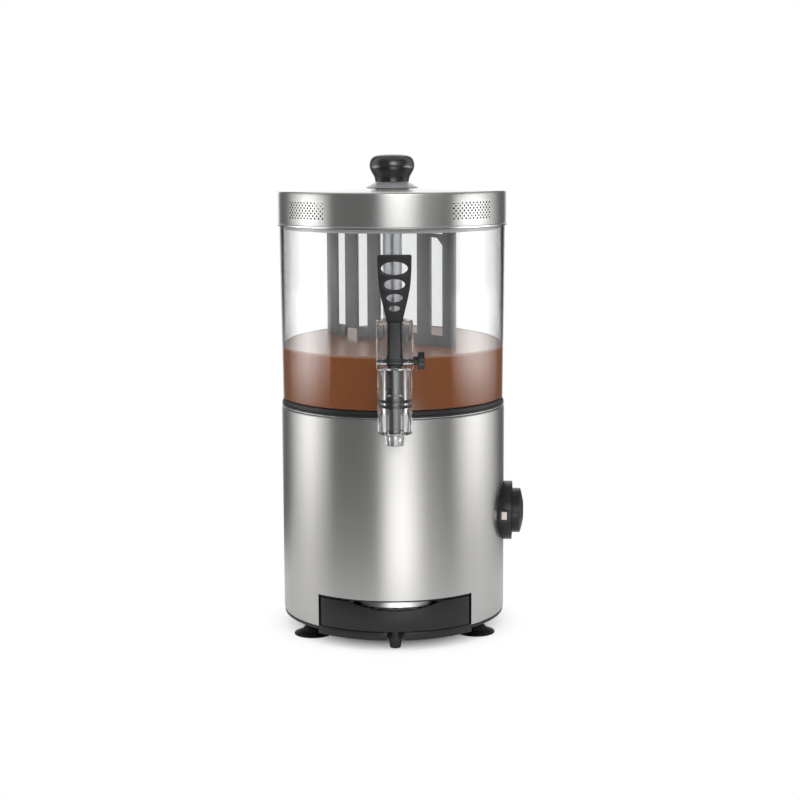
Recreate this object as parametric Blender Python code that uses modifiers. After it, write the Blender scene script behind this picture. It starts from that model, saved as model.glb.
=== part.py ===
"""Countertop hot chocolate dispenser: steel base, clear bowl, perforated lid, stirrer and lever tap.

Units are metres and +Z is up. The tap faces -Y and the heat knob faces +X, turned a
little to the front. The origin is the centre of the flat underside of the base pan, on
the machine's vertical axis. Run with: blender --background --python part.py
"""

import math

import bmesh
import bpy
from mathutils import Matrix, Vector

# Fits shared by every piece
CLEARANCE = 0.0003
RUNNING_GAP = 0.0005
OVERRUN = 0.0100
LARGE_STEPS = 48
MEDIUM_STEPS = 24
ROUND_STEPS = 16
SMALL_STEPS = 12
HALF_SHARE = 0.5
WHOLE_SHARE = 1.0
MERGE_DISTANCE = 0.00001

# Driving sizes of the whole machine
BASE_RADIUS = 0.1000
BASE_HEIGHT = 0.1864
BOWL_HEIGHT = 0.1570
FOOT_HEIGHT = 0.0130

# Bottom pan, a flat black disc under the steel shell
PAN_THICKNESS = 0.0020
PAN_RADIUS = BASE_RADIUS - CLEARANCE

# Steel shell of the base, with a hem at the bottom and a rounded shoulder at the top
SHELL_SHEET = 0.0008
SHELL_BOTTOM = PAN_THICKNESS + CLEARANCE
SHELL_TOP = SHELL_BOTTOM + BASE_HEIGHT
SHELL_INNER_RADIUS = BASE_RADIUS - SHELL_SHEET
HEM_WIDTH = 0.0100
SHOULDER_RADIUS = 0.0015
SHOULDER_WIDTH = 0.0055

# Small pan-head screws
SCREW_RADIUS = 0.0015
SCREW_HOLE_RADIUS = SCREW_RADIUS + CLEARANCE
SCREW_HEAD_RADIUS = 0.0030
SCREW_HEAD_HEIGHT = 0.0018
SCREW_LENGTH = 0.0060
PAN_SCREW_RADIUS = BASE_RADIUS - HEM_WIDTH * HALF_SHARE
PAN_SCREW_ANGLES = (-15.0, 90.0, 195.0)

# Suction-cup feet pushed through the pan
FOOT_SIDE_INSET = 0.0275
FOOT_END_INSET = 0.0580
FOOT_X = BASE_RADIUS - FOOT_SIDE_INSET
FOOT_Y = BASE_RADIUS - FOOT_END_INSET
FOOT_CUP_RADIUS = 0.0170
FOOT_RIM_WIDTH = 0.0030
FOOT_CUP_HEIGHT = 0.0085
FOOT_CUP_HOLLOW = 0.0035
FOOT_NECK_RADIUS = 0.0048
FOOT_STEM_RADIUS = 0.0030
FOOT_HEAD_RADIUS = 0.0045
FOOT_HEAD_HEIGHT = 0.0028

# Drip drawer, its front following the shell
DRAWER_SIDE_INSET = 0.0355
DRAWER_HALF_WIDTH = BASE_RADIUS - DRAWER_SIDE_INSET
DRAWER_HEIGHT = 0.0252
DRAWER_GAP = 0.0006
DRAWER_BOTTOM = 0.0042
DRAWER_TOP = DRAWER_BOTTOM + DRAWER_HEIGHT
DRAWER_WALL = 0.0018
DRAWER_FLOOR = 0.0020
DRAWER_FRONT_WALL = 0.0030
DRAWER_LEDGE = 0.0015
SCOOP_HALF_WIDTH = 0.0410
SCOOP_DEPTH = 0.0070

# Moulded channel that the drawer slides in
CHANNEL_WALL = 0.0018
CHANNEL_DEPTH = 0.0900
CHANNEL_BACK_Y = CHANNEL_DEPTH - BASE_RADIUS
CHANNEL_FLANGE_LENGTH = 0.0140
CHANNEL_LIP_BOTTOM = -0.0035
CHANNEL_LIP_DEPTH = 0.0060
CHANNEL_INNER_HALF_WIDTH = DRAWER_HALF_WIDTH + DRAWER_GAP
CHANNEL_HALF_WIDTH = CHANNEL_INNER_HALF_WIDTH + CHANNEL_WALL
CHANNEL_FLOOR_TOP = DRAWER_BOTTOM - DRAWER_GAP
CHANNEL_ROOF = DRAWER_TOP + DRAWER_GAP
CHANNEL_TOP = CHANNEL_ROOF + CHANNEL_WALL
CHANNEL_FLANGE_BOTTOM = PAN_THICKNESS + CLEARANCE
CHANNEL_SCREW_INSET = 0.0195
CHANNEL_SCREW_X = DRAWER_HALF_WIDTH - CHANNEL_SCREW_INSET
CHANNEL_SCREW_Y = CHANNEL_BACK_Y + CHANNEL_FLANGE_LENGTH * HALF_SHARE
DRAWER_BACK_Y = CHANNEL_BACK_Y - CHANNEL_WALL - RUNNING_GAP

# Drip grid, a slotted plate on the ledge of the drawer
GRID_THICKNESS = 0.0012
GRID_TOP = DRAWER_TOP - SCOOP_DEPTH - RUNNING_GAP
GRID_BOTTOM = GRID_TOP - GRID_THICKNESS
GRID_SLOT_COUNT = 11
GRID_SLOT_WIDTH = 0.0045
GRID_SLOT_MARGIN = 0.0145
GRID_SLOT_PITCH = (DRAWER_HALF_WIDTH - GRID_SLOT_MARGIN) / ((GRID_SLOT_COUNT - 1) * HALF_SHARE)
GRID_SLOT_END = 0.0080

# Peg foot that holds the drawer up when it is pulled out
PEG_INSET = 0.0100
PEG_Y = PEG_INSET - BASE_RADIUS
PEG_TOP_RADIUS = 0.0060
PEG_TIP_RADIUS = 0.0047
PEG_TABLE_GAP = 0.0010
PEG_STUD_RADIUS = 0.0028
PEG_STUD_LENGTH = 0.0032
PEG_NOTCH_RADIUS = PEG_TOP_RADIUS + 2 * RUNNING_GAP

# Water bath that hangs in the top of the shell
BATH_SHEET = 0.0008
BATH_DEPTH = 0.0520
BATH_CORNER = 0.0040
BATH_RIM_WIDTH = 0.0078
BATH_FLANGE_RADIUS = BASE_RADIUS - BATH_SHEET
BATH_RADIUS = BATH_FLANGE_RADIUS - BATH_RIM_WIDTH
BATH_TOP = SHELL_TOP + CLEARANCE + BATH_SHEET
BATH_BOTTOM = BATH_TOP - BATH_DEPTH
BATH_TUBE_RADIUS = 0.0078
BATH_TUBE_BORE_RADIUS = BATH_TUBE_RADIUS - BATH_SHEET
BATH_TUBE_RISE = 0.0015
BATH_TUBE_DROP = 0.0100

# Seat ring between the water bath and the bowl
SEAT_BOTTOM = BATH_TOP + CLEARANCE
SEAT_HEIGHT = 0.0056
SEAT_TOP = SEAT_BOTTOM + SEAT_HEIGHT
SEAT_BAND_HEIGHT = 0.0014
SEAT_FOOT_INSET = 0.0004
SEAT_CROWN_INSET = 0.0016
SEAT_WIDTH = 0.0079
SEAT_FOOT_RADIUS = BASE_RADIUS - SEAT_FOOT_INSET
SEAT_CROWN_RADIUS = BASE_RADIUS - SEAT_CROWN_INSET
SEAT_INNER_RADIUS = SEAT_CROWN_RADIUS - SEAT_WIDTH

# Heating element and overheat cut-out under the bath
ELEMENT_RING_RADIUS = 0.0500
ELEMENT_TUBE_RADIUS = 0.0035
ELEMENT_GAP_ANGLE = 36.0
ELEMENT_POINTS = 24
ELEMENT_LEG = 0.0120
CUTOUT_RADIUS = 0.0085
CUTOUT_HEIGHT = 0.0057
CUTOUT_X = -0.0200
CUTOUT_Y = 0.0220
CUTOUT_TAB_WIDTH = 0.0060
CUTOUT_TAB_THICKNESS = 0.0010
CUTOUT_TAB_LENGTH = 0.0070
CUTOUT_TAB_SPREAD = 0.0050

# Geared motor hung under the bath on a folded bracket
BRACKET_SHEET = 0.0015
BRACKET_DROP = 0.0280
BRACKET_HALF_SPAN = 0.0700
BRACKET_FOOT_LENGTH = 0.0110
BRACKET_FRONT_Y = -0.0220
BRACKET_BACK_Y = 0.0360
BRACKET_HOLE_RADIUS = 0.0055
BRACKET_TOP = BATH_BOTTOM - CLEARANCE
BRACKET_PLATE_BOTTOM = BRACKET_TOP - BRACKET_DROP
BRACKET_PLATE_TOP = BRACKET_PLATE_BOTTOM + BRACKET_SHEET
GEARBOX_HALF_WIDTH = 0.0260
GEARBOX_FRONT_Y = -0.0160
GEARBOX_BACK_Y = 0.0320
GEARBOX_HEIGHT = 0.0220
GEARBOX_ROUNDING = 0.0020
GEARBOX_TOP = BRACKET_PLATE_BOTTOM - CLEARANCE
GEARBOX_BORE_DEPTH = 0.0100
MOTOR_RADIUS = 0.0175
MOTOR_LENGTH = 0.0420
MOTOR_Y = 0.0120
MOTOR_ROUNDING = 0.0015
MOTOR_SCREW_X = 0.0200
MOTOR_SCREW_Y = 0.0260

# Terminal block and cable gland at the back
TERMINAL_SIZE = (0.0400, 0.0160, 0.0140)
TERMINAL_Y = 0.0550
TERMINAL_BARRIER = 0.0030
TERMINAL_BARRIER_DEPTH = 0.0040
TERMINAL_WAYS = 3
GLAND_Z = 0.0300
GLAND_BORE_RADIUS = 0.0035
GLAND_THREAD_RADIUS = 0.0075
GLAND_THREAD_LENGTH = 0.0120
GLAND_HEX_RADIUS = 0.0105
GLAND_HEX_LENGTH = 0.0050
GLAND_DOME_RADIUS = 0.0085
GLAND_TIP_RADIUS = 0.0055
GLAND_DOME_LENGTH = 0.0080
GLAND_NUT_RADIUS = 0.0110
GLAND_NUT_LENGTH = 0.0040
HEX_SIDES = 6

# Heat control on the right side, turned a little to the front
CONTROL_ANGLE = -6.5
CONTROL_Z = 0.0915
BEZEL_RADIUS = 0.0264
BEZEL_LIP_WIDTH = 0.0020
BEZEL_STAND_OFF = 0.0075
BEZEL_DISH_DEPTH = 0.0045
BEZEL_HOLE_RADIUS = 0.0040
BEZEL_ROOT_DEPTH = 0.0060
BEZEL_SCREW_OFFSET = 0.0130
BEZEL_SCREW_HEAD_HEIGHT = 0.0012
BEZEL_SCREW_LENGTH = 0.0100
KNOB_RADIUS = 0.0200
KNOB_LENGTH = 0.0104
KNOB_DOME = 0.0028
KNOB_ROUNDING = 0.0012
KNOB_LIFT = 0.0015
KNOB_BORE_DEPTH = 0.0080
KNOB_SHAFT_RADIUS = 0.0030
KNOB_SHAFT_LENGTH = 0.0280
LAMP_HALF_LENGTH = 0.0024
LAMP_HALF_HEIGHT = 0.0035
LAMP_DEPTH = 0.0030
LAMP_PROUD = 0.0003
LAMP_STAND_OFF = 0.0015
THERMOSTAT_HALF_WIDTH = 0.0180
THERMOSTAT_DEPTH = 0.0200
THERMOSTAT_ROUNDING = 0.0020

# Clear bowl with a small draft and an outlet spigot at the front
BOWL_BOTTOM = SEAT_TOP + CLEARANCE
BOWL_TOP = BOWL_BOTTOM + BOWL_HEIGHT
BOWL_WALL = 0.0030
BOWL_FOOT_INSET = 0.0011
BOWL_FOOT_RADIUS = BASE_RADIUS - BOWL_FOOT_INSET
BOWL_RIM_FLARE = 0.0003
BOWL_RIM_RADIUS = BASE_RADIUS + BOWL_RIM_FLARE
BOWL_CORNER = 0.0020
BOWL_HOLE_RADIUS = 0.0088
SPIGOT_RISE = 0.0107
SPIGOT_Z = BOWL_BOTTOM + SPIGOT_RISE
SPIGOT_RADIUS = 0.0085
SPIGOT_BORE_RADIUS = 0.0055
SPIGOT_LENGTH = 0.0091
SPIGOT_TIP_Y = -(BOWL_FOOT_RADIUS + SPIGOT_LENGTH)

# Standpipe in the bowl, its bush and the spindle that turns inside
PIPE_RADIUS = 0.0085
PIPE_BORE_RADIUS = 0.0065
PIPE_FLANGE_RADIUS = 0.0130
PIPE_FLANGE_THICKNESS = 0.0025
PIPE_SPIGOT_LENGTH = 0.0025
PIPE_RIM_GAP = 0.0060
PIPE_TOP = BOWL_TOP - PIPE_RIM_GAP
BUSH_RADIUS = PIPE_BORE_RADIUS - CLEARANCE
BUSH_FLANGE_RADIUS = 0.0082
BUSH_FLANGE_THICKNESS = 0.0010
BUSH_LENGTH = 0.0083
SPINDLE_RADIUS = 0.0030
SPINDLE_BOTTOM = GEARBOX_TOP - GEARBOX_BORE_DEPTH + CLEARANCE
SPINDLE_ROUND_TOP = BOWL_TOP
SPINDLE_SQUARE = 0.0044
SPINDLE_SQUARE_LENGTH = 0.0120
SEAL_RADIUS = BATH_TUBE_BORE_RADIUS - CLEARANCE
SEAL_HEIGHT = 0.0055
COLLAR_RADIUS = 0.0070
COLLAR_HEIGHT = 0.0068

# Agitator, one flat moulding with a hub cap on the standpipe
AGITATOR_ANGLE = -40.5
AGITATOR_THICKNESS = 0.0030
AGITATOR_REACH = 0.0780
AGITATOR_FLOOR_GAP = 0.0035
AGITATOR_BOTTOM = BOWL_BOTTOM + BOWL_WALL + AGITATOR_FLOOR_GAP
AGITATOR_PLATE_RISE = 0.0555
AGITATOR_PLATE_TOP = BOWL_BOTTOM + AGITATOR_PLATE_RISE
AGITATOR_RIM_GAP = 0.0005
AGITATOR_TOP = BOWL_TOP - AGITATOR_RIM_GAP
AGITATOR_RAIL = 0.0095
AGITATOR_INNER = 0.0115
AGITATOR_LINK = 0.0030
AGITATOR_LINK_DROP = 0.0055
AGITATOR_CHAMFER = 0.0060
AGITATOR_WINDOW_HEIGHT = 0.0155
AGITATOR_WINDOW_DROP = 0.0020
AGITATOR_SLOT_ROUNDING = 0.0030
LEFT_BAR_SHARES = ((0.192, 0.367), (0.531, 0.713), (0.846, 1.000))
RIGHT_BAR_SHARES = ((0.374, 0.558), (0.738, 0.903))
HUB_RADIUS = 0.0120
HUB_OVERLAP = 0.0035
HUB_BOTTOM = PIPE_TOP - HUB_OVERLAP
HUB_HEIGHT = 0.0275
HUB_ROUNDING = 0.0020
HUB_BORE_GAP = 0.0007
HUB_BORE_RADIUS = PIPE_RADIUS + HUB_BORE_GAP
HUB_SEAT = PIPE_TOP + CLEARANCE + BUSH_FLANGE_THICKNESS + CLEARANCE
HUB_SQUARE = SPINDLE_SQUARE + 2 * CLEARANCE

# Lid, a shallow steel pan turned over, with a ledge ring and a gasket inside
LID_SHEET = 0.0007
LID_HEIGHT = 0.0304
LID_OVERLAP = 0.0045
LID_BOTTOM = BOWL_TOP - LID_OVERLAP
LID_TOP = LID_BOTTOM + LID_HEIGHT
LID_SKIRT_OVERHANG = 0.0018
LID_SKIRT_RADIUS = BASE_RADIUS + LID_SKIRT_OVERHANG
LID_CROWN_OVERHANG = 0.0012
LID_CROWN_RADIUS = BASE_RADIUS + LID_CROWN_OVERHANG
LID_CORNER = 0.0024
LID_RISE = 0.0017
LID_FLAT_RADIUS = 0.0300
LID_HEM_HEIGHT = 0.0015
LID_HEM_STEP = 0.0005
LID_HOLE_RADIUS = 0.0026
GASKET_LEG_THICKNESS = 0.0010
GASKET_INSET = 0.0042
GASKET_INNER_RADIUS = BASE_RADIUS - GASKET_INSET
GASKET_OUTER_RADIUS = BOWL_RIM_RADIUS + CLEARANCE
GASKET_TOP_THICKNESS = 0.0012
GASKET_DEPTH = 0.0085
GASKET_BOTTOM = BOWL_TOP + CLEARANCE
GASKET_TOP = GASKET_BOTTOM + GASKET_TOP_THICKNESS
LEDGE_THICKNESS = 0.0010
LEDGE_INSET = 0.0030
LEDGE_INNER_RADIUS = BASE_RADIUS - LEDGE_INSET
LEDGE_OVERHANG = 0.0006
LEDGE_OUTER_RADIUS = BASE_RADIUS + LEDGE_OVERHANG

# Lid knob on its conical collar
CONE_TOP_RADIUS = 0.0150
CONE_BOTTOM_RADIUS = 0.02375
CONE_HEIGHT = 0.0047
CONE_BOTTOM = LID_TOP + LID_RISE + CLEARANCE
CONE_TOP = CONE_BOTTOM + CONE_HEIGHT
GRIP_BOTTOM = CONE_TOP + CLEARANCE
GRIP_HEIGHT = 0.0248
GRIP_RADIUS = 0.0200
GRIP_PROFILE_SHARES = (
    (0.000, 1.000),
    (0.300, 0.995),
    (0.575, 0.975),
    (0.800, 0.915),
    (0.940, 0.795),
    (1.000, 0.610),
    (0.975, 0.450),
    (0.880, 0.300),
    (0.785, 0.160),
    (0.750, 0.000),
)
GRIP_BORE_RADIUS = 0.0023
GRIP_BORE_DEPTH = 0.0125
LID_SCREW_RADIUS = 0.0020
LID_SCREW_HEAD_RADIUS = 0.0045
LID_SCREW_HEAD_HEIGHT = 0.0023
WASHER_RADIUS = 0.0080
WASHER_THICKNESS = 0.0010

# Clear tap body on the outlet spigot
TAP_REACH = 0.0140
TAP_Y = SPIGOT_TIP_Y - TAP_REACH
TAP_TUBE_RADIUS = 0.01435
TAP_TUBE_DROP = 0.0257
TAP_TUBE_BOTTOM = SPIGOT_Z - TAP_TUBE_DROP
TAP_CHAMFER = 0.0010
TAP_BORE_RADIUS = 0.0084
TAP_BORE_DROP = 0.0015
TAP_BORE_BOTTOM = TAP_TUBE_BOTTOM - TAP_BORE_DROP
NOZZLE_RADIUS = 0.0088
NOZZLE_TIP_RADIUS = 0.0080
NOZZLE_LENGTH = 0.0096
NOZZLE_BORE_RADIUS = 0.0040
BOSS_RADIUS = 0.0125
BOSS_BOWL_GAP = 0.0013
BOSS_REAR_Y = -(BASE_RADIUS + BOSS_BOWL_GAP)
SOCKET_RADIUS = SPIGOT_RADIUS + RUNNING_GAP
TAP_GASKET_THICKNESS = 0.0017
SOCKET_END_Y = SPIGOT_TIP_Y - 2 * CLEARANCE - TAP_GASKET_THICKNESS
TAP_GASKET_RADIUS = SOCKET_RADIUS - CLEARANCE
TAP_PORT_RADIUS = 0.0030
HOUSING_HALF_WIDTH = 0.0153
HOUSING_RISE = 0.0283
HOUSING_BOTTOM = SPIGOT_Z + HOUSING_RISE
HOUSING_HEIGHT = 0.0410
HOUSING_TOP = HOUSING_BOTTOM + HOUSING_HEIGHT
HOUSING_FRONT_REACH = 0.0153
HOUSING_FRONT_Y = TAP_Y - HOUSING_FRONT_REACH
HOUSING_REAR_REACH = 0.0145
HOUSING_REAR_Y = TAP_Y + HOUSING_REAR_REACH
HOUSING_ROUNDING = 0.0030
HOUSING_SLOT_HALF_WIDTH = 0.0068
HOUSING_SLOT_RISE = 0.0022
HOUSING_SLOT_FLOOR = HOUSING_BOTTOM + HOUSING_SLOT_RISE
HOUSING_SLOT_REACH = 0.0095
HOUSING_SLOT_REAR_Y = TAP_Y + HOUSING_SLOT_REACH

# Lever, its pin and the plunger that it lifts
LEVER_ARM = 0.0090
LEVER_SWING = 45.0
LEVER_PIVOT_Y = TAP_Y - LEVER_ARM
LEVER_PIVOT_RISE = 0.0080
LEVER_PIVOT_Z = HOUSING_BOTTOM + LEVER_PIVOT_RISE
LEVER_EYE_RADIUS = 0.0050
LEVER_EYE_GAP = 0.0004
LEVER_EYE_HALF_WIDTH = HOUSING_SLOT_HALF_WIDTH - LEVER_EYE_GAP
LEVER_HOLE_RADIUS = 0.0028
LEVER_NOSE_RADIUS = 0.0025
LEVER_NOSE_HALF_WIDTH = 0.0045
LEVER_ARM_HALF_THICKNESS = 0.0015
LEVER_ARM_HALF_WIDTH = 0.0040
LEVER_NECK_HALF_WIDTH = 0.0059
LEVER_NECK_DEPTH = 0.0090
LEVER_NECK_TOP = 0.0327
LEVER_NECK_ROUNDING = 0.0020
PADDLE_THICKNESS = 0.0035
PADDLE_LENGTH = 0.0867
PADDLE_START = 0.0060
PADDLE_FLARE_START = 0.0320
PADDLE_WIDTH = 0.0280
PADDLE_CORNER = 0.0015
PADDLE_CORNER_POINTS = 3
PADDLE_EDGE_SHARES = (
    (0.000, 0.455),
    (0.117, 0.560),
    (0.223, 0.660),
    (0.327, 0.760),
    (0.433, 0.845),
    (0.537, 0.915),
    (0.643, 0.955),
    (0.748, 0.980),
    (0.874, 0.995),
)
PADDLE_HOLE_POINTS = 14
PADDLE_HOLE_SHARES = (
    (0.872, 0.779, 0.385),
    (0.721, 0.615, 0.311),
    (0.594, 0.463, 0.240),
    (0.495, 0.318, 0.165),
)
PIN_RADIUS = 0.0025
PIN_NECK_RADIUS = 0.0035
PIN_NECK_LENGTH = 0.0032
PIN_FLANGE_RADIUS = 0.0072
PIN_FLANGE_THICKNESS = 0.0055
PIN_END_SETBACK = 0.0003
STEM_RADIUS = 0.0050
CORE_RADIUS = 0.0035
TAP_SEAL_RADIUS = TAP_BORE_RADIUS - CLEARANCE
TAP_SEAL_HEIGHT = 0.0080
TAP_SEAL_RISE = 0.0003
TAP_SEAL_BOTTOM = SPIGOT_Z - TAP_SEAL_HEIGHT * HALF_SHARE + TAP_SEAL_RISE
TAP_SEAL_TOP = TAP_SEAL_BOTTOM + TAP_SEAL_HEIGHT
PLUNGER_BOTTOM = TAP_TUBE_BOTTOM
PLUNGER_DISC_RADIUS = 0.0080
PLUNGER_DISC_GAP = 0.0040
PLUNGER_DISC_BOTTOM = TAP_SEAL_TOP + PLUNGER_DISC_GAP
PLUNGER_DISC_THICKNESS = 0.0050
PLUNGER_DISC_TOP = PLUNGER_DISC_BOTTOM + PLUNGER_DISC_THICKNESS
PLUNGER_HEAD_RADIUS = 0.0065
PLUNGER_HEAD_DROP = 0.0070
PLUNGER_HEAD_TOP = LEVER_PIVOT_Z - PLUNGER_HEAD_DROP
PLUNGER_RIB_HALF_WIDTH = 0.00255
PLUNGER_RIB_REACH = 0.0078
YOKE_HALF_WIDTH = 0.0045
YOKE_FRONT_REACH = 0.0035
YOKE_REAR_REACH = 0.0055
YOKE_SLOT_REAR = 0.0030
YOKE_SLOT_BELOW = 0.0034
YOKE_SLOT_ABOVE = 0.0033
YOKE_LIP = 0.0022

# Colours of the finishes, linear RGB
STEEL_COLOUR = (0.60, 0.60, 0.60)
LID_STEEL_COLOUR = (0.66, 0.66, 0.65)
BLACK_COLOUR = (0.012, 0.012, 0.013)
RUBBER_COLOUR = (0.020, 0.020, 0.021)
CLEAR_COLOUR = (0.92, 0.93, 0.93)
SILICONE_COLOUR = (0.62, 0.62, 0.60)
GREY_COLOUR = (0.085, 0.080, 0.078)
CONE_COLOUR = (0.33, 0.33, 0.34)
ZINC_COLOUR = (0.48, 0.48, 0.49)
BRASS_COLOUR = (0.60, 0.42, 0.16)
CERAMIC_COLOUR = (0.75, 0.73, 0.68)
AMBER_COLOUR = (0.70, 0.22, 0.03)


def clear_scene():
    """Remove every object that the scene starts with."""
    for obj in list(bpy.data.objects):
        bpy.data.objects.remove(obj, do_unlink=True)


def new_collection(name):
    """Make a collection and link it to the scene."""
    collection = bpy.data.collections.new(name)
    bpy.context.scene.collection.children.link(collection)
    return collection


clear_scene()
PARTS = new_collection("hot_chocolate_dispenser")
CUTTERS = new_collection("cutters")


def finish(name, colour, roughness, metallic=0.0, transmission=0.0):
    """Make a Principled material."""
    material = bpy.data.materials.new(name)
    material.use_nodes = True
    shader = material.node_tree.nodes["Principled BSDF"]
    shader.inputs["Base Color"].default_value = (*colour, 1.0)
    shader.inputs["Roughness"].default_value = roughness
    shader.inputs["Metallic"].default_value = metallic
    shader.inputs["Transmission Weight"].default_value = transmission
    return material


BRUSHED_STEEL = finish("brushed_steel", STEEL_COLOUR, 0.32, metallic=1.0)
LID_STEEL = finish("satin_lid_steel", LID_STEEL_COLOUR, 0.28, metallic=1.0)
BLACK_PLASTIC = finish("black_plastic", BLACK_COLOUR, 0.40)
GLOSS_BLACK = finish("gloss_black_plastic", BLACK_COLOUR, 0.22)
BLACK_RUBBER = finish("black_rubber", RUBBER_COLOUR, 0.65)
CLEAR_PLASTIC = finish("clear_polycarbonate", CLEAR_COLOUR, 0.03, transmission=1.0)
SILICONE = finish("milky_silicone", SILICONE_COLOUR, 0.45)
GREY_PLASTIC = finish("grey_plastic", GREY_COLOUR, 0.35)
CONE_PLASTIC = finish("light_grey_plastic", CONE_COLOUR, 0.38)
ZINC = finish("zinc_plated_steel", ZINC_COLOUR, 0.35, metallic=1.0)
BRASS = finish("brass", BRASS_COLOUR, 0.30, metallic=1.0)
CERAMIC = finish("ceramic", CERAMIC_COLOUR, 0.50)
AMBER_LENS = finish("amber_lens", AMBER_COLOUR, 0.15)


def link(name, mesh, material=None, parent=None):
    """Add a mesh as a piece of the machine, or as a cutter when it has no material."""
    obj = bpy.data.objects.new(name, mesh)
    obj.parent = parent
    if material is None:
        CUTTERS.objects.link(obj)
        obj.hide_render = True
        obj.display_type = "WIRE"
        return obj
    PARTS.objects.link(obj)
    mesh.materials.append(material)
    return obj


def axis_empty(name, location=(0.0, 0.0, 0.0), rotation=None, parent=None):
    """Add an empty that stands on a joint's axis and carries the pieces that move there."""
    empty = bpy.data.objects.new(name, None)
    PARTS.objects.link(empty)
    empty.location = location
    if rotation is not None:
        empty.rotation_euler = rotation.to_euler()
    empty.parent = parent
    return empty


def smooth(obj):
    """Shade a round piece smooth and keep its edges sharp."""
    obj.data.shade_smooth()
    obj.data.set_sharp_from_angle(angle=math.radians(35.0))
    return obj


def box(name, low, high, material=None, parent=None):
    """Make a box from its lowest to its highest corner."""
    mesh = bpy.data.meshes.new(name)
    shape = bmesh.new()
    bmesh.ops.create_cube(shape, size=WHOLE_SHARE)
    size = Vector(high) - Vector(low)
    centre = (Vector(high) + Vector(low)) * HALF_SHARE
    bmesh.ops.scale(shape, vec=size, verts=shape.verts)
    bmesh.ops.translate(shape, vec=centre, verts=shape.verts)
    shape.to_mesh(mesh)
    shape.free()
    return link(name, mesh, material, parent)


def rod(name, radius, start, end, material=None, parent=None, steps=MEDIUM_STEPS, tip_radius=None):
    """Make a cylinder, or a cone to tip_radius, from one point to another."""
    line = Vector(end) - Vector(start)
    turn = line.to_track_quat("Z", "Y").to_matrix().to_4x4()
    middle = Matrix.Translation((Vector(start) + Vector(end)) * HALF_SHARE)
    mesh = bpy.data.meshes.new(name)
    shape = bmesh.new()
    bmesh.ops.create_cone(
        shape,
        cap_ends=True,
        segments=steps,
        radius1=radius,
        radius2=radius if tip_radius is None else tip_radius,
        depth=line.length,
        matrix=middle @ turn,
    )
    shape.to_mesh(mesh)
    shape.free()
    return smooth(link(name, mesh, material, parent))


def turned(name, profile, material=None, parent=None, steps=MEDIUM_STEPS):
    """Turn a profile of (radius, height) points about the local Z axis.

    The points run down the outer side and back up the inner side. A profile that
    starts and ends on the axis stays open there, and any other is closed.
    """
    mesh = bpy.data.meshes.new(name)
    shape = bmesh.new()
    points = [shape.verts.new((radius, 0.0, height)) for radius, height in profile]
    for first, second in zip(points, points[1:]):
        shape.edges.new((first, second))
    if profile[0][0] > 0.0 or profile[-1][0] > 0.0:
        shape.edges.new((points[-1], points[0]))
    shape.to_mesh(mesh)
    shape.free()
    obj = link(name, mesh, material, parent)
    screw = obj.modifiers.new("turn", "SCREW")
    screw.steps = steps
    screw.render_steps = steps
    screw.use_merge_vertices = True
    screw.merge_threshold = MERGE_DISTANCE
    screw.use_smooth_shade = True
    return obj


def flat_plate(name, outlines, thickness, material=None, parent=None, upright=True):
    """Make a plate from closed outlines in X and Z, or X and Y, the later ones being holes."""
    curve = bpy.data.curves.new(name, "CURVE")
    curve.dimensions = "2D"
    curve.fill_mode = "BOTH"
    curve.extrude = thickness * HALF_SHARE
    for outline in outlines:
        spline = curve.splines.new("POLY")
        spline.points.add(len(outline) - 1)
        for point, (across, up) in zip(spline.points, outline):
            point.co = (across, up, 0.0, 1.0)
        spline.use_cyclic_u = True
    guide = bpy.data.objects.new(name + "_outline", curve)
    CUTTERS.objects.link(guide)
    mesh = solid_of(guide)
    if upright:
        mesh.transform(Matrix.Rotation(math.pi * HALF_SHARE, 4, "X"))
    return link(name, mesh, material, parent)


def solid_of(guide):
    """Turn a curve object into a welded mesh and remove the curve."""
    graph = bpy.context.evaluated_depsgraph_get()
    mesh = bpy.data.meshes.new_from_object(guide.evaluated_get(graph))
    mesh.materials.clear()
    shape = bmesh.new()
    shape.from_mesh(mesh)
    bmesh.ops.remove_doubles(shape, verts=shape.verts, dist=MERGE_DISTANCE)
    bmesh.ops.dissolve_degenerate(shape, edges=shape.edges, dist=MERGE_DISTANCE)
    bmesh.ops.recalc_face_normals(shape, faces=shape.faces)
    shape.to_mesh(mesh)
    shape.free()
    bpy.data.objects.remove(guide, do_unlink=True)
    return mesh


def rounded(obj, radius, segments=2):
    """Round the edges of a piece."""
    bevel = obj.modifiers.new("round", "BEVEL")
    bevel.width = radius
    bevel.segments = segments
    bevel.limit_method = "ANGLE"
    return obj


def boolean(obj, operation, *tools):
    """Add one Boolean modifier for each tool."""
    for tool in tools:
        modifier = obj.modifiers.new(operation.lower(), "BOOLEAN")
        modifier.operation = operation
        modifier.solver = "EXACT"
        modifier.object = tool
    return obj


def cut(obj, *tools):
    """Take the tools out of a piece."""
    return boolean(obj, "DIFFERENCE", *tools)


def join(obj, *tools):
    """Add the tools to a piece."""
    return boolean(obj, "UNION", *tools)


def on_circle(radius, degrees):
    """Give the X and Y of a point on a circle about the machine's axis."""
    angle = math.radians(degrees)
    return radius * math.cos(angle), radius * math.sin(angle)


def arc(centre_across, centre_up, radius, first, last, count):
    """Give the points of an arc, with its ends in degrees."""
    angles = [math.radians(first + (last - first) * step / (count - 1)) for step in range(count)]
    return [
        (centre_across + radius * math.cos(angle), centre_up + radius * math.sin(angle))
        for angle in angles
    ]


def chord_depth(radius, half_width):
    """Give the distance from the axis to a chord of a circle."""
    return math.sqrt(radius**2 - half_width**2)


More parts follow.
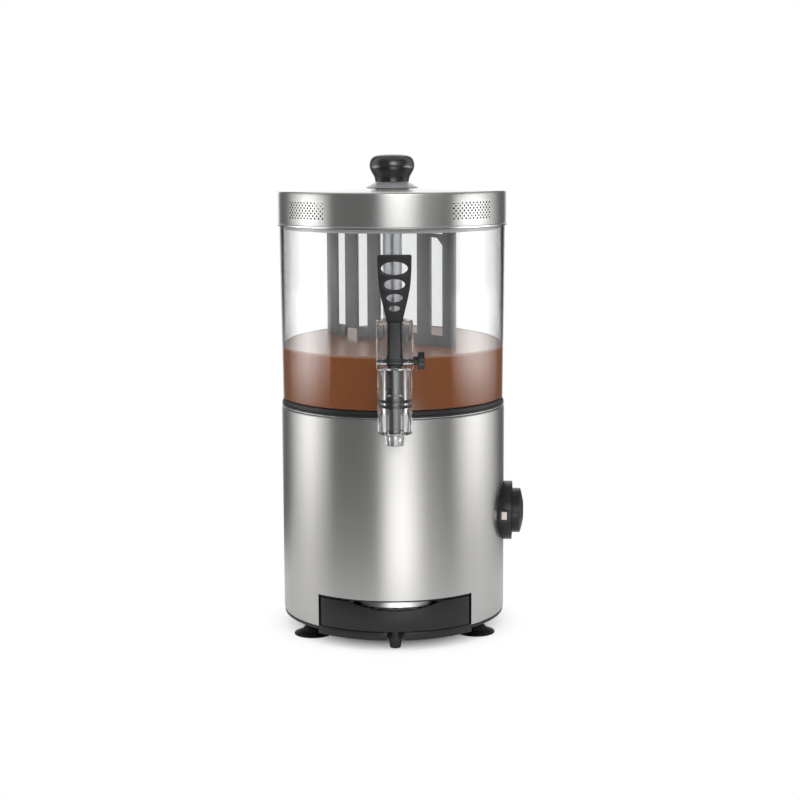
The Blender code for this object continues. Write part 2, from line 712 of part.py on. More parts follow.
def screw_of(name, place, head_height, length, parent=None, head_radius=SCREW_HEAD_RADIUS):
    """Make a screw that points up, the underside of its head at the given place."""
    across, along, up = place
    profile = [
        (0.0, length),
        (SCREW_RADIUS, length),
        (SCREW_RADIUS, 0.0),
        (head_radius, 0.0),
        (head_radius, -head_height),
        (0.0, -head_height),
    ]
    screw = turned(name, profile, ZINC, parent, steps=SMALL_STEPS)
    screw.location = (across, along, up)
    return screw


def make_empties():
    """Make the empties that stand on the joint axes, and give them by name."""
    turn = math.radians(CONTROL_ANGLE)
    outward = Vector((math.cos(turn), math.sin(turn), 0.0))
    upward = Vector((0.0, 0.0, 1.0))
    sideways = outward.cross(upward)
    control_turn = Matrix((upward, sideways, outward)).transposed()
    base = axis_empty("base_axis")
    bowl = axis_empty("bowl_axis")
    tap = axis_empty("tap_axis", (0.0, TAP_Y, 0.0), parent=bowl)
    pivot_offset = (0.0, LEVER_PIVOT_Y - TAP_Y, LEVER_PIVOT_Z)
    agitator_turn = Matrix.Rotation(math.radians(AGITATOR_ANGLE), 3, "Z")
    control_place = (0.0, 0.0, CONTROL_Z)
    return {
        "base": base,
        "bowl": bowl,
        "tap": tap,
        "lid": axis_empty("lid_axis", parent=bowl),
        "agitator": axis_empty("agitator_axis", rotation=agitator_turn, parent=bowl),
        "spindle": axis_empty("spindle_axis", parent=base),
        "lever": axis_empty("lever_axis", pivot_offset, parent=tap),
        "plunger": axis_empty("plunger_axis", parent=tap),
        "tray": axis_empty("tray_axis", parent=base),
        "control": axis_empty("control_axis", control_place, control_turn, parent=base),
        "knob": axis_empty("knob_axis", control_place, control_turn, parent=base),
    }


def bezel_screw_bores(parent, name, radius, first, last):
    """Make the two bores of the bezel screws, between two depths along the control axis."""
    return [
        rod(
            f"{name}_{side}",
            radius,
            (offset, 0.0, first),
            (offset, 0.0, last),
            parent=parent,
            steps=SMALL_STEPS,
        )
        for side, offset in (("upper", BEZEL_SCREW_OFFSET), ("lower", -BEZEL_SCREW_OFFSET))
    ]


def upright_bore(name, radius, across, along, low, high):
    """Make an upright cylinder that cuts a hole."""
    return rod(name, radius, (across, along, low), (across, along, high), steps=SMALL_STEPS)


def channel_plan(name, margin, low, high, back):
    """Make a box over the plan of the drawer channel."""
    reach = CHANNEL_HALF_WIDTH + margin
    return box(name, (-reach, -BASE_RADIUS - OVERRUN, low), (reach, back, high))


def make_body_shell(at):
    """The brushed steel shell with its hem, its shoulder and its openings."""
    inner_land = BASE_RADIUS - SHOULDER_WIDTH
    hem_inner = BASE_RADIUS - HEM_WIDTH
    profile = [
        (inner_land, SHELL_TOP),
        *arc(BASE_RADIUS - SHOULDER_RADIUS, SHELL_TOP - SHOULDER_RADIUS, SHOULDER_RADIUS, 90.0, 0.0, 4),
        (BASE_RADIUS, SHELL_BOTTOM),
        (hem_inner, SHELL_BOTTOM),
        (hem_inner, SHELL_BOTTOM + SHELL_SHEET),
        (SHELL_INNER_RADIUS, SHELL_BOTTOM + SHELL_SHEET),
        (SHELL_INNER_RADIUS, SHELL_TOP - SHELL_SHEET),
        (inner_land, SHELL_TOP - SHELL_SHEET),
    ]
    shell = turned("body_shell", profile, BRUSHED_STEEL, at["base"], LARGE_STEPS)
    window = box(
        "drawer_window",
        (-CHANNEL_INNER_HALF_WIDTH, -BASE_RADIUS - OVERRUN, -OVERRUN),
        (CHANNEL_INNER_HALF_WIDTH, CHANNEL_BACK_Y, CHANNEL_ROOF),
    )
    notch = channel_plan("hem_notch", CLEARANCE, -OVERRUN, CHANNEL_FLOOR_TOP + CLEARANCE, CHANNEL_BACK_Y)
    shaft_hole = rod(
        "shaft_hole",
        BEZEL_HOLE_RADIUS,
        (0.0, 0.0, SHELL_INNER_RADIUS - OVERRUN),
        (0.0, 0.0, BASE_RADIUS + OVERRUN),
        parent=at["control"],
        steps=SMALL_STEPS,
    )
    screw_holes = bezel_screw_bores(
        at["control"], "shell_screw_hole", SCREW_HOLE_RADIUS, SHELL_INNER_RADIUS - OVERRUN, BASE_RADIUS + OVERRUN
    )
    gland_hole = rod(
        "gland_hole",
        GLAND_THREAD_RADIUS + CLEARANCE,
        (0.0, SHELL_INNER_RADIUS - OVERRUN, GLAND_Z),
        (0.0, BASE_RADIUS + OVERRUN, GLAND_Z),
    )
    return cut(shell, window, notch, shaft_hole, *screw_holes, gland_hole, *pan_screw_holes("hem"))


def pan_screw_holes(name):
    """Make the holes for the screws that hold the pan to the hem."""
    return [
        upright_bore(
            f"{name}_screw_hole_{index}",
            SCREW_HOLE_RADIUS,
            *on_circle(PAN_SCREW_RADIUS, degrees),
            -OVERRUN,
            OVERRUN,
        )
        for index, degrees in enumerate(PAN_SCREW_ANGLES, 1)
    ]


def foot_places():
    """Give the number, X and Y of each foot."""
    corners = ((-1, -1), (1, -1), (-1, 1), (1, 1))
    return [(index, side * FOOT_X, end * FOOT_Y) for index, (side, end) in enumerate(corners, 1)]


def make_bottom_pan(at):
    """The black bottom pan, open at the front for the drawer channel, with its screws and feet."""
    profile = [(0.0, PAN_THICKNESS), (PAN_RADIUS, PAN_THICKNESS), (PAN_RADIUS, 0.0), (0.0, 0.0)]
    pan = turned("bottom_pan", profile, BLACK_PLASTIC, at["base"], LARGE_STEPS)
    plan = channel_plan("pan_notch", CLEARANCE, -OVERRUN, OVERRUN, CHANNEL_BACK_Y + CLEARANCE)
    foot_holes = [
        upright_bore(f"foot_hole_{index}", FOOT_STEM_RADIUS + CLEARANCE, across, along, -OVERRUN, OVERRUN)
        for index, across, along in foot_places()
    ]
    cut(pan, plan, *foot_holes, *pan_screw_holes("pan"), *channel_screw_holes("pan_channel"))
    for index, degrees in enumerate(PAN_SCREW_ANGLES, 1):
        place = (*on_circle(PAN_SCREW_RADIUS, degrees), -CLEARANCE)
        screw_of(f"pan_screw_{index}", place, SCREW_HEAD_HEIGHT, SCREW_LENGTH, at["base"])
    for index, across, along in foot_places():
        make_foot(index, across, along, at["base"])


def make_foot(index, across, along, base):
    """A rubber suction cup with a stem that snaps through the pan."""
    table = -FOOT_HEIGHT
    head_bottom = PAN_THICKNESS + CLEARANCE
    profile = [
        (0.0, head_bottom + FOOT_HEAD_HEIGHT),
        (FOOT_STEM_RADIUS, head_bottom + FOOT_HEAD_HEIGHT),
        (FOOT_HEAD_RADIUS, head_bottom),
        (FOOT_STEM_RADIUS, head_bottom),
        (FOOT_STEM_RADIUS, -CLEARANCE),
        (FOOT_NECK_RADIUS, -CLEARANCE),
        (FOOT_NECK_RADIUS, table + FOOT_CUP_HEIGHT),
        (FOOT_CUP_RADIUS, table + RUNNING_GAP),
        (FOOT_CUP_RADIUS, table),
        (FOOT_CUP_RADIUS - FOOT_RIM_WIDTH, table),
        (FOOT_NECK_RADIUS, table + FOOT_CUP_HOLLOW),
        (0.0, table + FOOT_CUP_HOLLOW),
    ]
    foot = turned(f"foot_{index}", profile, BLACK_RUBBER, base, ROUND_STEPS)
    foot.location = (across, along, 0.0)


def channel_screw_holes(name):
    """Make the two holes of the screws behind the drawer channel."""
    return [
        upright_bore(f"{name}_hole_{side}", SCREW_HOLE_RADIUS, across, CHANNEL_SCREW_Y, -OVERRUN, OVERRUN)
        for side, across in (("left", -CHANNEL_SCREW_X), ("right", CHANNEL_SCREW_X))
    ]


def within_circle(obj, name, radius, low, high):
    """Keep the part of a box that lies inside an upright cylinder about the machine's axis."""
    limit = rod(name, radius, (0.0, 0.0, low), (0.0, 0.0, high), steps=LARGE_STEPS)
    return boolean(obj, "INTERSECT", limit)


def make_tray_channel(at):
    """The black channel round the drawer, with a lip under the shell and a notch for the peg."""
    channel = box(
        "tray_channel",
        (-CHANNEL_HALF_WIDTH, -BASE_RADIUS - OVERRUN, CHANNEL_LIP_BOTTOM),
        (CHANNEL_HALF_WIDTH, CHANNEL_BACK_Y, CHANNEL_TOP),
        BLACK_PLASTIC,
        at["base"],
    )
    inner_radius = SHELL_INNER_RADIUS - CLEARANCE
    limit = turned(
        "channel_limit",
        [
            (0.0, CHANNEL_TOP + OVERRUN),
            (inner_radius, CHANNEL_TOP + OVERRUN),
            (inner_radius, CHANNEL_FLOOR_TOP),
            (BASE_RADIUS, CHANNEL_FLOOR_TOP),
            (BASE_RADIUS, CHANNEL_LIP_BOTTOM - OVERRUN),
            (0.0, CHANNEL_LIP_BOTTOM - OVERRUN),
        ],
        steps=LARGE_STEPS,
    )
    boolean(channel, "INTERSECT", limit)
    flange = box(
        "channel_flange",
        (
            -CHANNEL_HALF_WIDTH + CHANNEL_WALL,
            CHANNEL_BACK_Y - CHANNEL_WALL * HALF_SHARE,
            CHANNEL_FLANGE_BOTTOM,
        ),
        (
            CHANNEL_HALF_WIDTH - CHANNEL_WALL,
            CHANNEL_BACK_Y + CHANNEL_FLANGE_LENGTH,
            CHANNEL_FLANGE_BOTTOM + CHANNEL_WALL,
        ),
    )
    cavity = box(
        "channel_cavity",
        (-CHANNEL_INNER_HALF_WIDTH, -BASE_RADIUS - OVERRUN, CHANNEL_FLOOR_TOP),
        (CHANNEL_INNER_HALF_WIDTH, CHANNEL_BACK_Y - CHANNEL_WALL, CHANNEL_ROOF),
    )
    hollow = box(
        "channel_hollow",
        (-CHANNEL_INNER_HALF_WIDTH, -BASE_RADIUS, CHANNEL_LIP_BOTTOM - OVERRUN),
        (CHANNEL_INNER_HALF_WIDTH, CHANNEL_BACK_Y - CHANNEL_WALL, CHANNEL_FLOOR_TOP - CHANNEL_WALL),
    )
    within_circle(hollow, "hollow_limit", BASE_RADIUS - CHANNEL_LIP_DEPTH, -OVERRUN - FOOT_HEIGHT, OVERRUN)
    notch = box(
        "peg_notch",
        (-PEG_NOTCH_RADIUS, -BASE_RADIUS - OVERRUN, -OVERRUN),
        (PEG_NOTCH_RADIUS, PEG_Y, CHANNEL_FLOOR_TOP + RUNNING_GAP),
    )
    notch_end = rod(
        "peg_notch_end",
        PEG_NOTCH_RADIUS,
        (0.0, PEG_Y, -OVERRUN),
        (0.0, PEG_Y, CHANNEL_FLOOR_TOP + RUNNING_GAP),
        steps=SMALL_STEPS,
    )
    join(channel, flange)
    cut(channel, cavity, hollow, notch, notch_end, *channel_screw_holes("channel"))
    for side, across in (("left", -CHANNEL_SCREW_X), ("right", CHANNEL_SCREW_X)):
        place = (across, CHANNEL_SCREW_Y, -CLEARANCE)
        screw_of(f"channel_screw_{side}", place, SCREW_HEAD_HEIGHT, SCREW_LENGTH, at["base"])


def make_tray_drawer(at):
    """The drip drawer with a finger scoop in its front and a ledge for the grid."""
    drawer = box(
        "tray_drawer",
        (-DRAWER_HALF_WIDTH, -BASE_RADIUS - OVERRUN, DRAWER_BOTTOM),
        (DRAWER_HALF_WIDTH, DRAWER_BACK_Y, DRAWER_TOP),
        BLACK_PLASTIC,
        at["tray"],
    )
    within_circle(drawer, "drawer_limit", BASE_RADIUS, -OVERRUN, DRAWER_TOP + OVERRUN)
    ledge_top = GRID_BOTTOM - CLEARANCE
    cavities = []
    for name, inset, low, high in (
        ("drawer_well", DRAWER_LEDGE, DRAWER_BOTTOM + DRAWER_FLOOR, DRAWER_TOP),
        ("drawer_mouth", 0.0, ledge_top, DRAWER_TOP + OVERRUN),
    ):
        side = DRAWER_HALF_WIDTH - DRAWER_WALL - inset
        cavity = box(name, (-side, -BASE_RADIUS, low), (side, DRAWER_BACK_Y - DRAWER_WALL - inset, high))
        within_circle(
            cavity, name + "_limit", BASE_RADIUS - DRAWER_FRONT_WALL - inset, -OVERRUN, high + OVERRUN
        )
        cavities.append(cavity)
    scoop_radius = (SCOOP_HALF_WIDTH**2 + SCOOP_DEPTH**2) / (2 * SCOOP_DEPTH)
    scoop_centre = DRAWER_TOP - SCOOP_DEPTH + scoop_radius
    scoop = rod(
        "finger_scoop",
        scoop_radius,
        (0.0, -BASE_RADIUS - OVERRUN, scoop_centre),
        (0.0, -BASE_RADIUS + OVERRUN, scoop_centre),
        steps=2 * LARGE_STEPS,
    )
    stud_hole = upright_bore("stud_hole", PEG_STUD_RADIUS + CLEARANCE, 0.0, PEG_Y, -OVERRUN, GRID_BOTTOM)
    return cut(drawer, *cavities, scoop, stud_hole)


def make_tray_grid(at):
    """The slotted grid that lies on the ledge of the drawer."""
    radius = BASE_RADIUS - DRAWER_FRONT_WALL - CLEARANCE
    side = DRAWER_HALF_WIDTH - DRAWER_WALL - CLEARANCE
    back = DRAWER_BACK_Y - DRAWER_WALL - CLEARANCE
    corner = math.degrees(math.acos(side / radius))
    outline = [(side, back), *arc(0.0, 0.0, radius, -corner, corner - 180.0, 13), (-side, back)]
    holes = []
    for index in range(GRID_SLOT_COUNT):
        middle = (index - (GRID_SLOT_COUNT - 1) * HALF_SHARE) * GRID_SLOT_PITCH
        left, right = middle - GRID_SLOT_WIDTH * HALF_SHARE, middle + GRID_SLOT_WIDTH * HALF_SHARE
        front = GRID_SLOT_END - chord_depth(radius, max(abs(left), abs(right)))
        rear = back - GRID_SLOT_END
        holes.append([(left, front), (right, front), (right, rear), (left, rear)])
    grid = flat_plate(
        "tray_grid", [outline, *holes], GRID_THICKNESS, BRUSHED_STEEL, at["tray"], upright=False
    )
    grid.location = (0.0, 0.0, GRID_BOTTOM + GRID_THICKNESS * HALF_SHARE)
    return grid


def make_tray_peg(at):
    """The peg foot under the drawer's front, pressed into its floor by a stud."""
    top = DRAWER_BOTTOM - CLEARANCE
    tip = PEG_TABLE_GAP - FOOT_HEIGHT
    profile = [
        (0.0, top + PEG_STUD_LENGTH),
        (PEG_STUD_RADIUS, top + PEG_STUD_LENGTH),
        (PEG_STUD_RADIUS, top),
        (PEG_TOP_RADIUS, top),
        (PEG_TIP_RADIUS, tip + PEG_TABLE_GAP),
        (PEG_TIP_RADIUS - PEG_TABLE_GAP, tip),
        (0.0, tip),
    ]
    peg = turned("tray_peg", profile, BLACK_RUBBER, at["tray"], SMALL_STEPS)
    peg.location = (0.0, PEG_Y, 0.0)
    return peg


def make_water_bath(at):
    """The water bath with its flange on the shoulder and a centre tube for the spindle."""
    inner = BATH_RADIUS - BATH_SHEET
    floor = BATH_BOTTOM + BATH_SHEET
    profile = [
        (BATH_FLANGE_RADIUS, BATH_TOP),
        (BATH_FLANGE_RADIUS, BATH_TOP - BATH_SHEET),
        (BATH_RADIUS, BATH_TOP - BATH_SHEET),
        (BATH_RADIUS, BATH_BOTTOM + BATH_CORNER),
        (BATH_RADIUS - BATH_CORNER, BATH_BOTTOM),
        (BATH_TUBE_RADIUS, BATH_BOTTOM),
        (BATH_TUBE_RADIUS, BATH_BOTTOM - BATH_TUBE_DROP),
        (BATH_TUBE_BORE_RADIUS, BATH_BOTTOM - BATH_TUBE_DROP),
        (BATH_TUBE_BORE_RADIUS, BATH_TOP + BATH_TUBE_RISE),
        (BATH_TUBE_RADIUS, BATH_TOP + BATH_TUBE_RISE),
        (BATH_TUBE_RADIUS, floor),
        (inner - BATH_CORNER, floor),
        (inner, floor + BATH_CORNER),
        (inner, BATH_TOP),
    ]
    turned("water_bath", profile, BRUSHED_STEEL, at["base"], LARGE_STEPS)
    seal_top = BATH_TOP + BATH_TUBE_RISE - CLEARANCE
    seal_profile = [
        (SEAL_RADIUS, seal_top),
        (SEAL_RADIUS, seal_top - SEAL_HEIGHT),
        (SPINDLE_RADIUS + CLEARANCE, seal_top - SEAL_HEIGHT),
        (SPINDLE_RADIUS + CLEARANCE, seal_top),
    ]
    turned("shaft_seal", seal_profile, BLACK_RUBBER, at["base"], SMALL_STEPS)


def make_seat_ring(at):
    """The black ring that the bowl stands on, with a band under its tapered side."""
    profile = [
        (SEAT_CROWN_RADIUS, SEAT_TOP),
        (SEAT_FOOT_RADIUS, SEAT_BOTTOM + SEAT_BAND_HEIGHT),
        (SEAT_FOOT_RADIUS, SEAT_BOTTOM),
        (SEAT_INNER_RADIUS, SEAT_BOTTOM),
        (SEAT_INNER_RADIUS, SEAT_TOP),
    ]
    return turned("seat_ring", profile, BLACK_RUBBER, at["base"], LARGE_STEPS)


def make_heating(at):
    """The tubular heating element and the overheat cut-out under the bath."""
    height = BATH_BOTTOM - CLEARANCE - ELEMENT_TUBE_RADIUS
    half_gap = ELEMENT_GAP_ANGLE * HALF_SHARE
    ring = arc(0.0, 0.0, ELEMENT_RING_RADIUS, 90.0 + half_gap, 450.0 - half_gap, ELEMENT_POINTS)
    route = [(*ring[0], height - ELEMENT_LEG)]
    route += [(across, along, height) for across, along in ring]
    route.append((*ring[-1], height - ELEMENT_LEG))
    curve = bpy.data.curves.new("heating_element", "CURVE")
    curve.dimensions = "3D"
    curve.bevel_depth = ELEMENT_TUBE_RADIUS
    curve.bevel_resolution = 2
    curve.use_fill_caps = True
    spline = curve.splines.new("POLY")
    spline.points.add(len(route) - 1)
    for point, place in zip(spline.points, route):
        point.co = (*place, 1.0)
    guide = bpy.data.objects.new("heating_route", curve)
    CUTTERS.objects.link(guide)
    smooth(link("heating_element", solid_of(guide), ZINC, at["base"]))
    top = BATH_BOTTOM - CLEARANCE
    bottom = top - CUTOUT_HEIGHT
    cutout = rod(
        "overheat_cutout",
        CUTOUT_RADIUS,
        (CUTOUT_X, CUTOUT_Y, bottom),
        (CUTOUT_X, CUTOUT_Y, top),
        CERAMIC,
        at["base"],
    )
    tabs = []
    for side in (-1, 1):
        across = CUTOUT_X + side * CUTOUT_TAB_SPREAD
        half_thickness = CUTOUT_TAB_THICKNESS * HALF_SHARE
        half_width = CUTOUT_TAB_WIDTH * HALF_SHARE
        tabs.append(
            box(
                f"cutout_tab_{side}",
                (across - half_thickness, CUTOUT_Y - half_width, bottom - CUTOUT_TAB_LENGTH),
                (across + half_thickness, CUTOUT_Y + half_width, bottom + CUTOUT_TAB_THICKNESS),
            )
        )
    return join(cutout, *tabs)


def make_drive(at):
    """The geared motor, its bracket under the bath and the two screws between them."""
    span = BRACKET_HALF_SPAN
    reach = span + BRACKET_FOOT_LENGTH
    sheet = BRACKET_SHEET
    outline = [
        (-reach, BRACKET_TOP),
        (-reach, BRACKET_TOP - sheet),
        (-span, BRACKET_TOP - sheet),
        (-span, BRACKET_PLATE_BOTTOM),
        (span, BRACKET_PLATE_BOTTOM),
        (span, BRACKET_TOP - sheet),
        (reach, BRACKET_TOP - sheet),
        (reach, BRACKET_TOP),
        (span - sheet, BRACKET_TOP),
        (span - sheet, BRACKET_PLATE_TOP),
        (-span + sheet, BRACKET_PLATE_TOP),
        (-span + sheet, BRACKET_TOP),
    ]
    bracket = flat_plate("motor_bracket", [outline], BRACKET_BACK_Y - BRACKET_FRONT_Y, ZINC, at["base"])
    bracket.location = (0.0, (BRACKET_BACK_Y + BRACKET_FRONT_Y) * HALF_SHARE, 0.0)
    low, high = GEARBOX_TOP - GEARBOX_BORE_DEPTH, BRACKET_PLATE_TOP + OVERRUN
    hole = upright_bore("bracket_hole", BRACKET_HOLE_RADIUS, 0.0, 0.0, low, high)
    screw_holes = [
        upright_bore(
            f"motor_hole_{side}", SCREW_HOLE_RADIUS, side * MOTOR_SCREW_X, MOTOR_SCREW_Y, low, high
        )
        for side in (-1, 1)
    ]
    cut(bracket, hole, *screw_holes)
    gearbox_bottom = GEARBOX_TOP - GEARBOX_HEIGHT
    gearbox = box(
        "gearbox",
        (-GEARBOX_HALF_WIDTH, GEARBOX_FRONT_Y, gearbox_bottom),
        (GEARBOX_HALF_WIDTH, GEARBOX_BACK_Y, GEARBOX_TOP),
        ZINC,
        at["base"],
    )
    rounded(gearbox, GEARBOX_ROUNDING)
    bore = upright_bore("gearbox_bore", SPINDLE_RADIUS + CLEARANCE, 0.0, 0.0, low, high)
    cut(gearbox, bore, *screw_holes)
    motor_top = gearbox_bottom - CLEARANCE
    motor = rod(
        "motor",
        MOTOR_RADIUS,
        (0.0, MOTOR_Y, motor_top - MOTOR_LENGTH),
        (0.0, MOTOR_Y, motor_top),
        BLACK_PLASTIC,
        at["base"],
    )
    rounded(motor, MOTOR_ROUNDING, 1)
    for index, side in enumerate((-1, 1), 1):
        place = (side * MOTOR_SCREW_X, MOTOR_SCREW_Y, BRACKET_PLATE_TOP + CLEARANCE)
        screw = screw_of(f"motor_screw_{index}", place, SCREW_HEAD_HEIGHT, SCREW_LENGTH, at["base"])
        screw.rotation_euler = (math.pi, 0.0, 0.0)


def make_electrics(at):
    """The terminal block on the pan, and the cable gland and its nut at the back."""
    half_width, half_depth, height = (size * share for size, share in zip(TERMINAL_SIZE, (0.5, 0.5, 1.0)))
    bottom = PAN_THICKNESS + CLEARANCE
    block = box(
        "terminal_block",
        (-half_width, TERMINAL_Y - half_depth, bottom),
        (half_width, TERMINAL_Y + half_depth, bottom + height),
        CERAMIC,
        at["base"],
    )
    pitch = (2 * half_width - TERMINAL_BARRIER) / TERMINAL_WAYS
    ways = []
    for index in range(TERMINAL_WAYS):
        left = -half_width + TERMINAL_BARRIER + index * pitch
        ways.append(
            box(
                f"terminal_way_{index}",
                (left, TERMINAL_Y - half_depth - OVERRUN, bottom + height - TERMINAL_BARRIER_DEPTH),
                (
                    left + pitch - TERMINAL_BARRIER,
                    TERMINAL_Y + half_depth + OVERRUN,
                    bottom + height + OVERRUN,
                ),
            )
        )
    cut(block, *ways)
    face = BASE_RADIUS + CLEARANCE
    profile = [
        (0.0, face + GLAND_HEX_LENGTH + GLAND_DOME_LENGTH),
        (GLAND_TIP_RADIUS, face + GLAND_HEX_LENGTH + GLAND_DOME_LENGTH),
        (GLAND_DOME_RADIUS, face + GLAND_HEX_LENGTH),
        (GLAND_DOME_RADIUS, face),
        (GLAND_THREAD_RADIUS, face),
        (GLAND_THREAD_RADIUS, face - GLAND_THREAD_LENGTH),
        (0.0, face - GLAND_THREAD_LENGTH),
    ]
    gland = turned("cable_gland", profile, BLACK_PLASTIC, at["base"], ROUND_STEPS)
    gland.location = (0.0, 0.0, GLAND_Z)
    gland.rotation_euler = (-math.pi * HALF_SHARE, 0.0, 0.0)
    flats = rod(
        "gland_flats",
        GLAND_HEX_RADIUS,
        (0.0, face, GLAND_Z),
        (0.0, face + GLAND_HEX_LENGTH, GLAND_Z),
        steps=HEX_SIDES,
    )
    bore = rod(
        "gland_bore",
        GLAND_BORE_RADIUS,
        (0.0, HEM_WIDTH, GLAND_Z),
        (0.0, 2 * BASE_RADIUS, GLAND_Z),
        steps=SMALL_STEPS,
    )
    cut(join(gland, flats), bore)
    nut_back = chord_depth(SHELL_INNER_RADIUS, GLAND_NUT_RADIUS) - CLEARANCE
    nut = rod(
        "gland_nut",
        GLAND_NUT_RADIUS,
        (0.0, nut_back - GLAND_NUT_LENGTH, GLAND_Z),
        (0.0, nut_back, GLAND_Z),
        BLACK_PLASTIC,
        at["base"],
        HEX_SIDES,
    )
    thread = rod(
        "nut_thread",
        GLAND_THREAD_RADIUS + CLEARANCE,
        (0.0, HEM_WIDTH, GLAND_Z),
        (0.0, 2 * BASE_RADIUS, GLAND_Z),
        steps=ROUND_STEPS,
    )
    cut(nut, thread)


def make_heat_control(at):
    """The bezel, pilot lamp, thermostat, knob and shaft of the heat control."""
    lip = BASE_RADIUS + BEZEL_STAND_OFF
    dish = lip - BEZEL_DISH_DEPTH
    profile = [
        (BEZEL_RADIUS - BEZEL_LIP_WIDTH, lip),
        (BEZEL_RADIUS, lip),
        (BEZEL_RADIUS, BASE_RADIUS - BEZEL_ROOT_DEPTH),
        (BEZEL_HOLE_RADIUS, BASE_RADIUS - BEZEL_ROOT_DEPTH),
        (BEZEL_HOLE_RADIUS, dish),
        (BEZEL_RADIUS - BEZEL_LIP_WIDTH, dish),
    ]
    bezel = turned("knob_bezel", profile, BLACK_PLASTIC, at["control"], MEDIUM_STEPS)
    saddle = rod(
        "bezel_saddle",
        BASE_RADIUS + CLEARANCE,
        (0.0, 0.0, CONTROL_Z - BEZEL_RADIUS - OVERRUN),
        (0.0, 0.0, CONTROL_Z + BEZEL_RADIUS + OVERRUN),
        steps=LARGE_STEPS,
    )
    lamp_middle = BASE_RADIUS + LAMP_STAND_OFF
    lamp_back = BEZEL_RADIUS - LAMP_DEPTH
    pocket = box(
        "lamp_pocket",
        (-LAMP_HALF_HEIGHT - CLEARANCE, lamp_back - CLEARANCE, lamp_middle - LAMP_HALF_LENGTH - CLEARANCE),
        (LAMP_HALF_HEIGHT + CLEARANCE, BEZEL_RADIUS + OVERRUN, lamp_middle + LAMP_HALF_LENGTH + CLEARANCE),
        parent=at["control"],
    )
    seat = dish - BEZEL_SCREW_HEAD_HEIGHT
    sinks = bezel_screw_bores(
        at["control"], "screw_sink", SCREW_HEAD_RADIUS + CLEARANCE, seat - CLEARANCE, lip + OVERRUN
    )
    bores = bezel_screw_bores(
        at["control"], "bezel_screw_hole", SCREW_HOLE_RADIUS, seat - BEZEL_SCREW_LENGTH - CLEARANCE, lip
    )
    cut(bezel, saddle, pocket, *sinks, *bores)
    box(
        "pilot_lamp",
        (-LAMP_HALF_HEIGHT, lamp_back, lamp_middle - LAMP_HALF_LENGTH),
        (LAMP_HALF_HEIGHT, BEZEL_RADIUS + LAMP_PROUD, lamp_middle + LAMP_HALF_LENGTH),
        AMBER_LENS,
        at["control"],
    )
    front = chord_depth(SHELL_INNER_RADIUS, THERMOSTAT_HALF_WIDTH) - CLEARANCE
    body = box(
        "thermostat_body",
        (-THERMOSTAT_HALF_WIDTH, -THERMOSTAT_HALF_WIDTH, front - THERMOSTAT_DEPTH),
        (THERMOSTAT_HALF_WIDTH, THERMOSTAT_HALF_WIDTH, front),
        CERAMIC,
        at["control"],
    )
    rounded(body, THERMOSTAT_ROUNDING, 1)
    knob_base = dish + KNOB_LIFT
    shaft_top = knob_base + KNOB_BORE_DEPTH - CLEARANCE
    shaft_bottom = shaft_top - KNOB_SHAFT_LENGTH
    shaft_bore = rod(
        "thermostat_bore",
        KNOB_SHAFT_RADIUS + CLEARANCE,
        (0.0, 0.0, shaft_bottom - CLEARANCE),
        (0.0, 0.0, front + OVERRUN),
        parent=at["control"],
        steps=SMALL_STEPS,
    )
    cut(body, shaft_bore, *bores)
    for index, offset in enumerate((BEZEL_SCREW_OFFSET, -BEZEL_SCREW_OFFSET), 1):
        place = (offset, 0.0, seat)
        screw = screw_of(
            f"bezel_screw_{index}", place, BEZEL_SCREW_HEAD_HEIGHT, BEZEL_SCREW_LENGTH, at["control"]
        )
        screw.rotation_euler = (math.pi, 0.0, 0.0)
    make_knob(at, knob_base, shaft_bottom, shaft_top)


def make_knob(at, base, shaft_bottom, shaft_top):
    """The heat knob with its domed end, and the shaft inside it."""
    side_top = base + KNOB_LENGTH
    dome_radius = KNOB_RADIUS - KNOB_ROUNDING
    dome_shares = (0.0, 0.45, 0.75, 1.0)
    profile = [
        (dome_radius * share, side_top + KNOB_DOME * (1.0 - share**2)) for share in dome_shares
    ]
    profile += [
        (KNOB_RADIUS, side_top - KNOB_ROUNDING),
        (KNOB_RADIUS, base),
        (KNOB_SHAFT_RADIUS + CLEARANCE, base),
        (KNOB_SHAFT_RADIUS + CLEARANCE, base + KNOB_BORE_DEPTH),
        (0.0, base + KNOB_BORE_DEPTH),
    ]
    turned("thermostat_knob", profile, BLACK_PLASTIC, at["knob"], MEDIUM_STEPS)
    rod(
        "thermostat_shaft",
        KNOB_SHAFT_RADIUS,
        (0.0, 0.0, shaft_bottom),
        (0.0, 0.0, shaft_top),
        ZINC,
        at["knob"],
        SMALL_STEPS,
    )


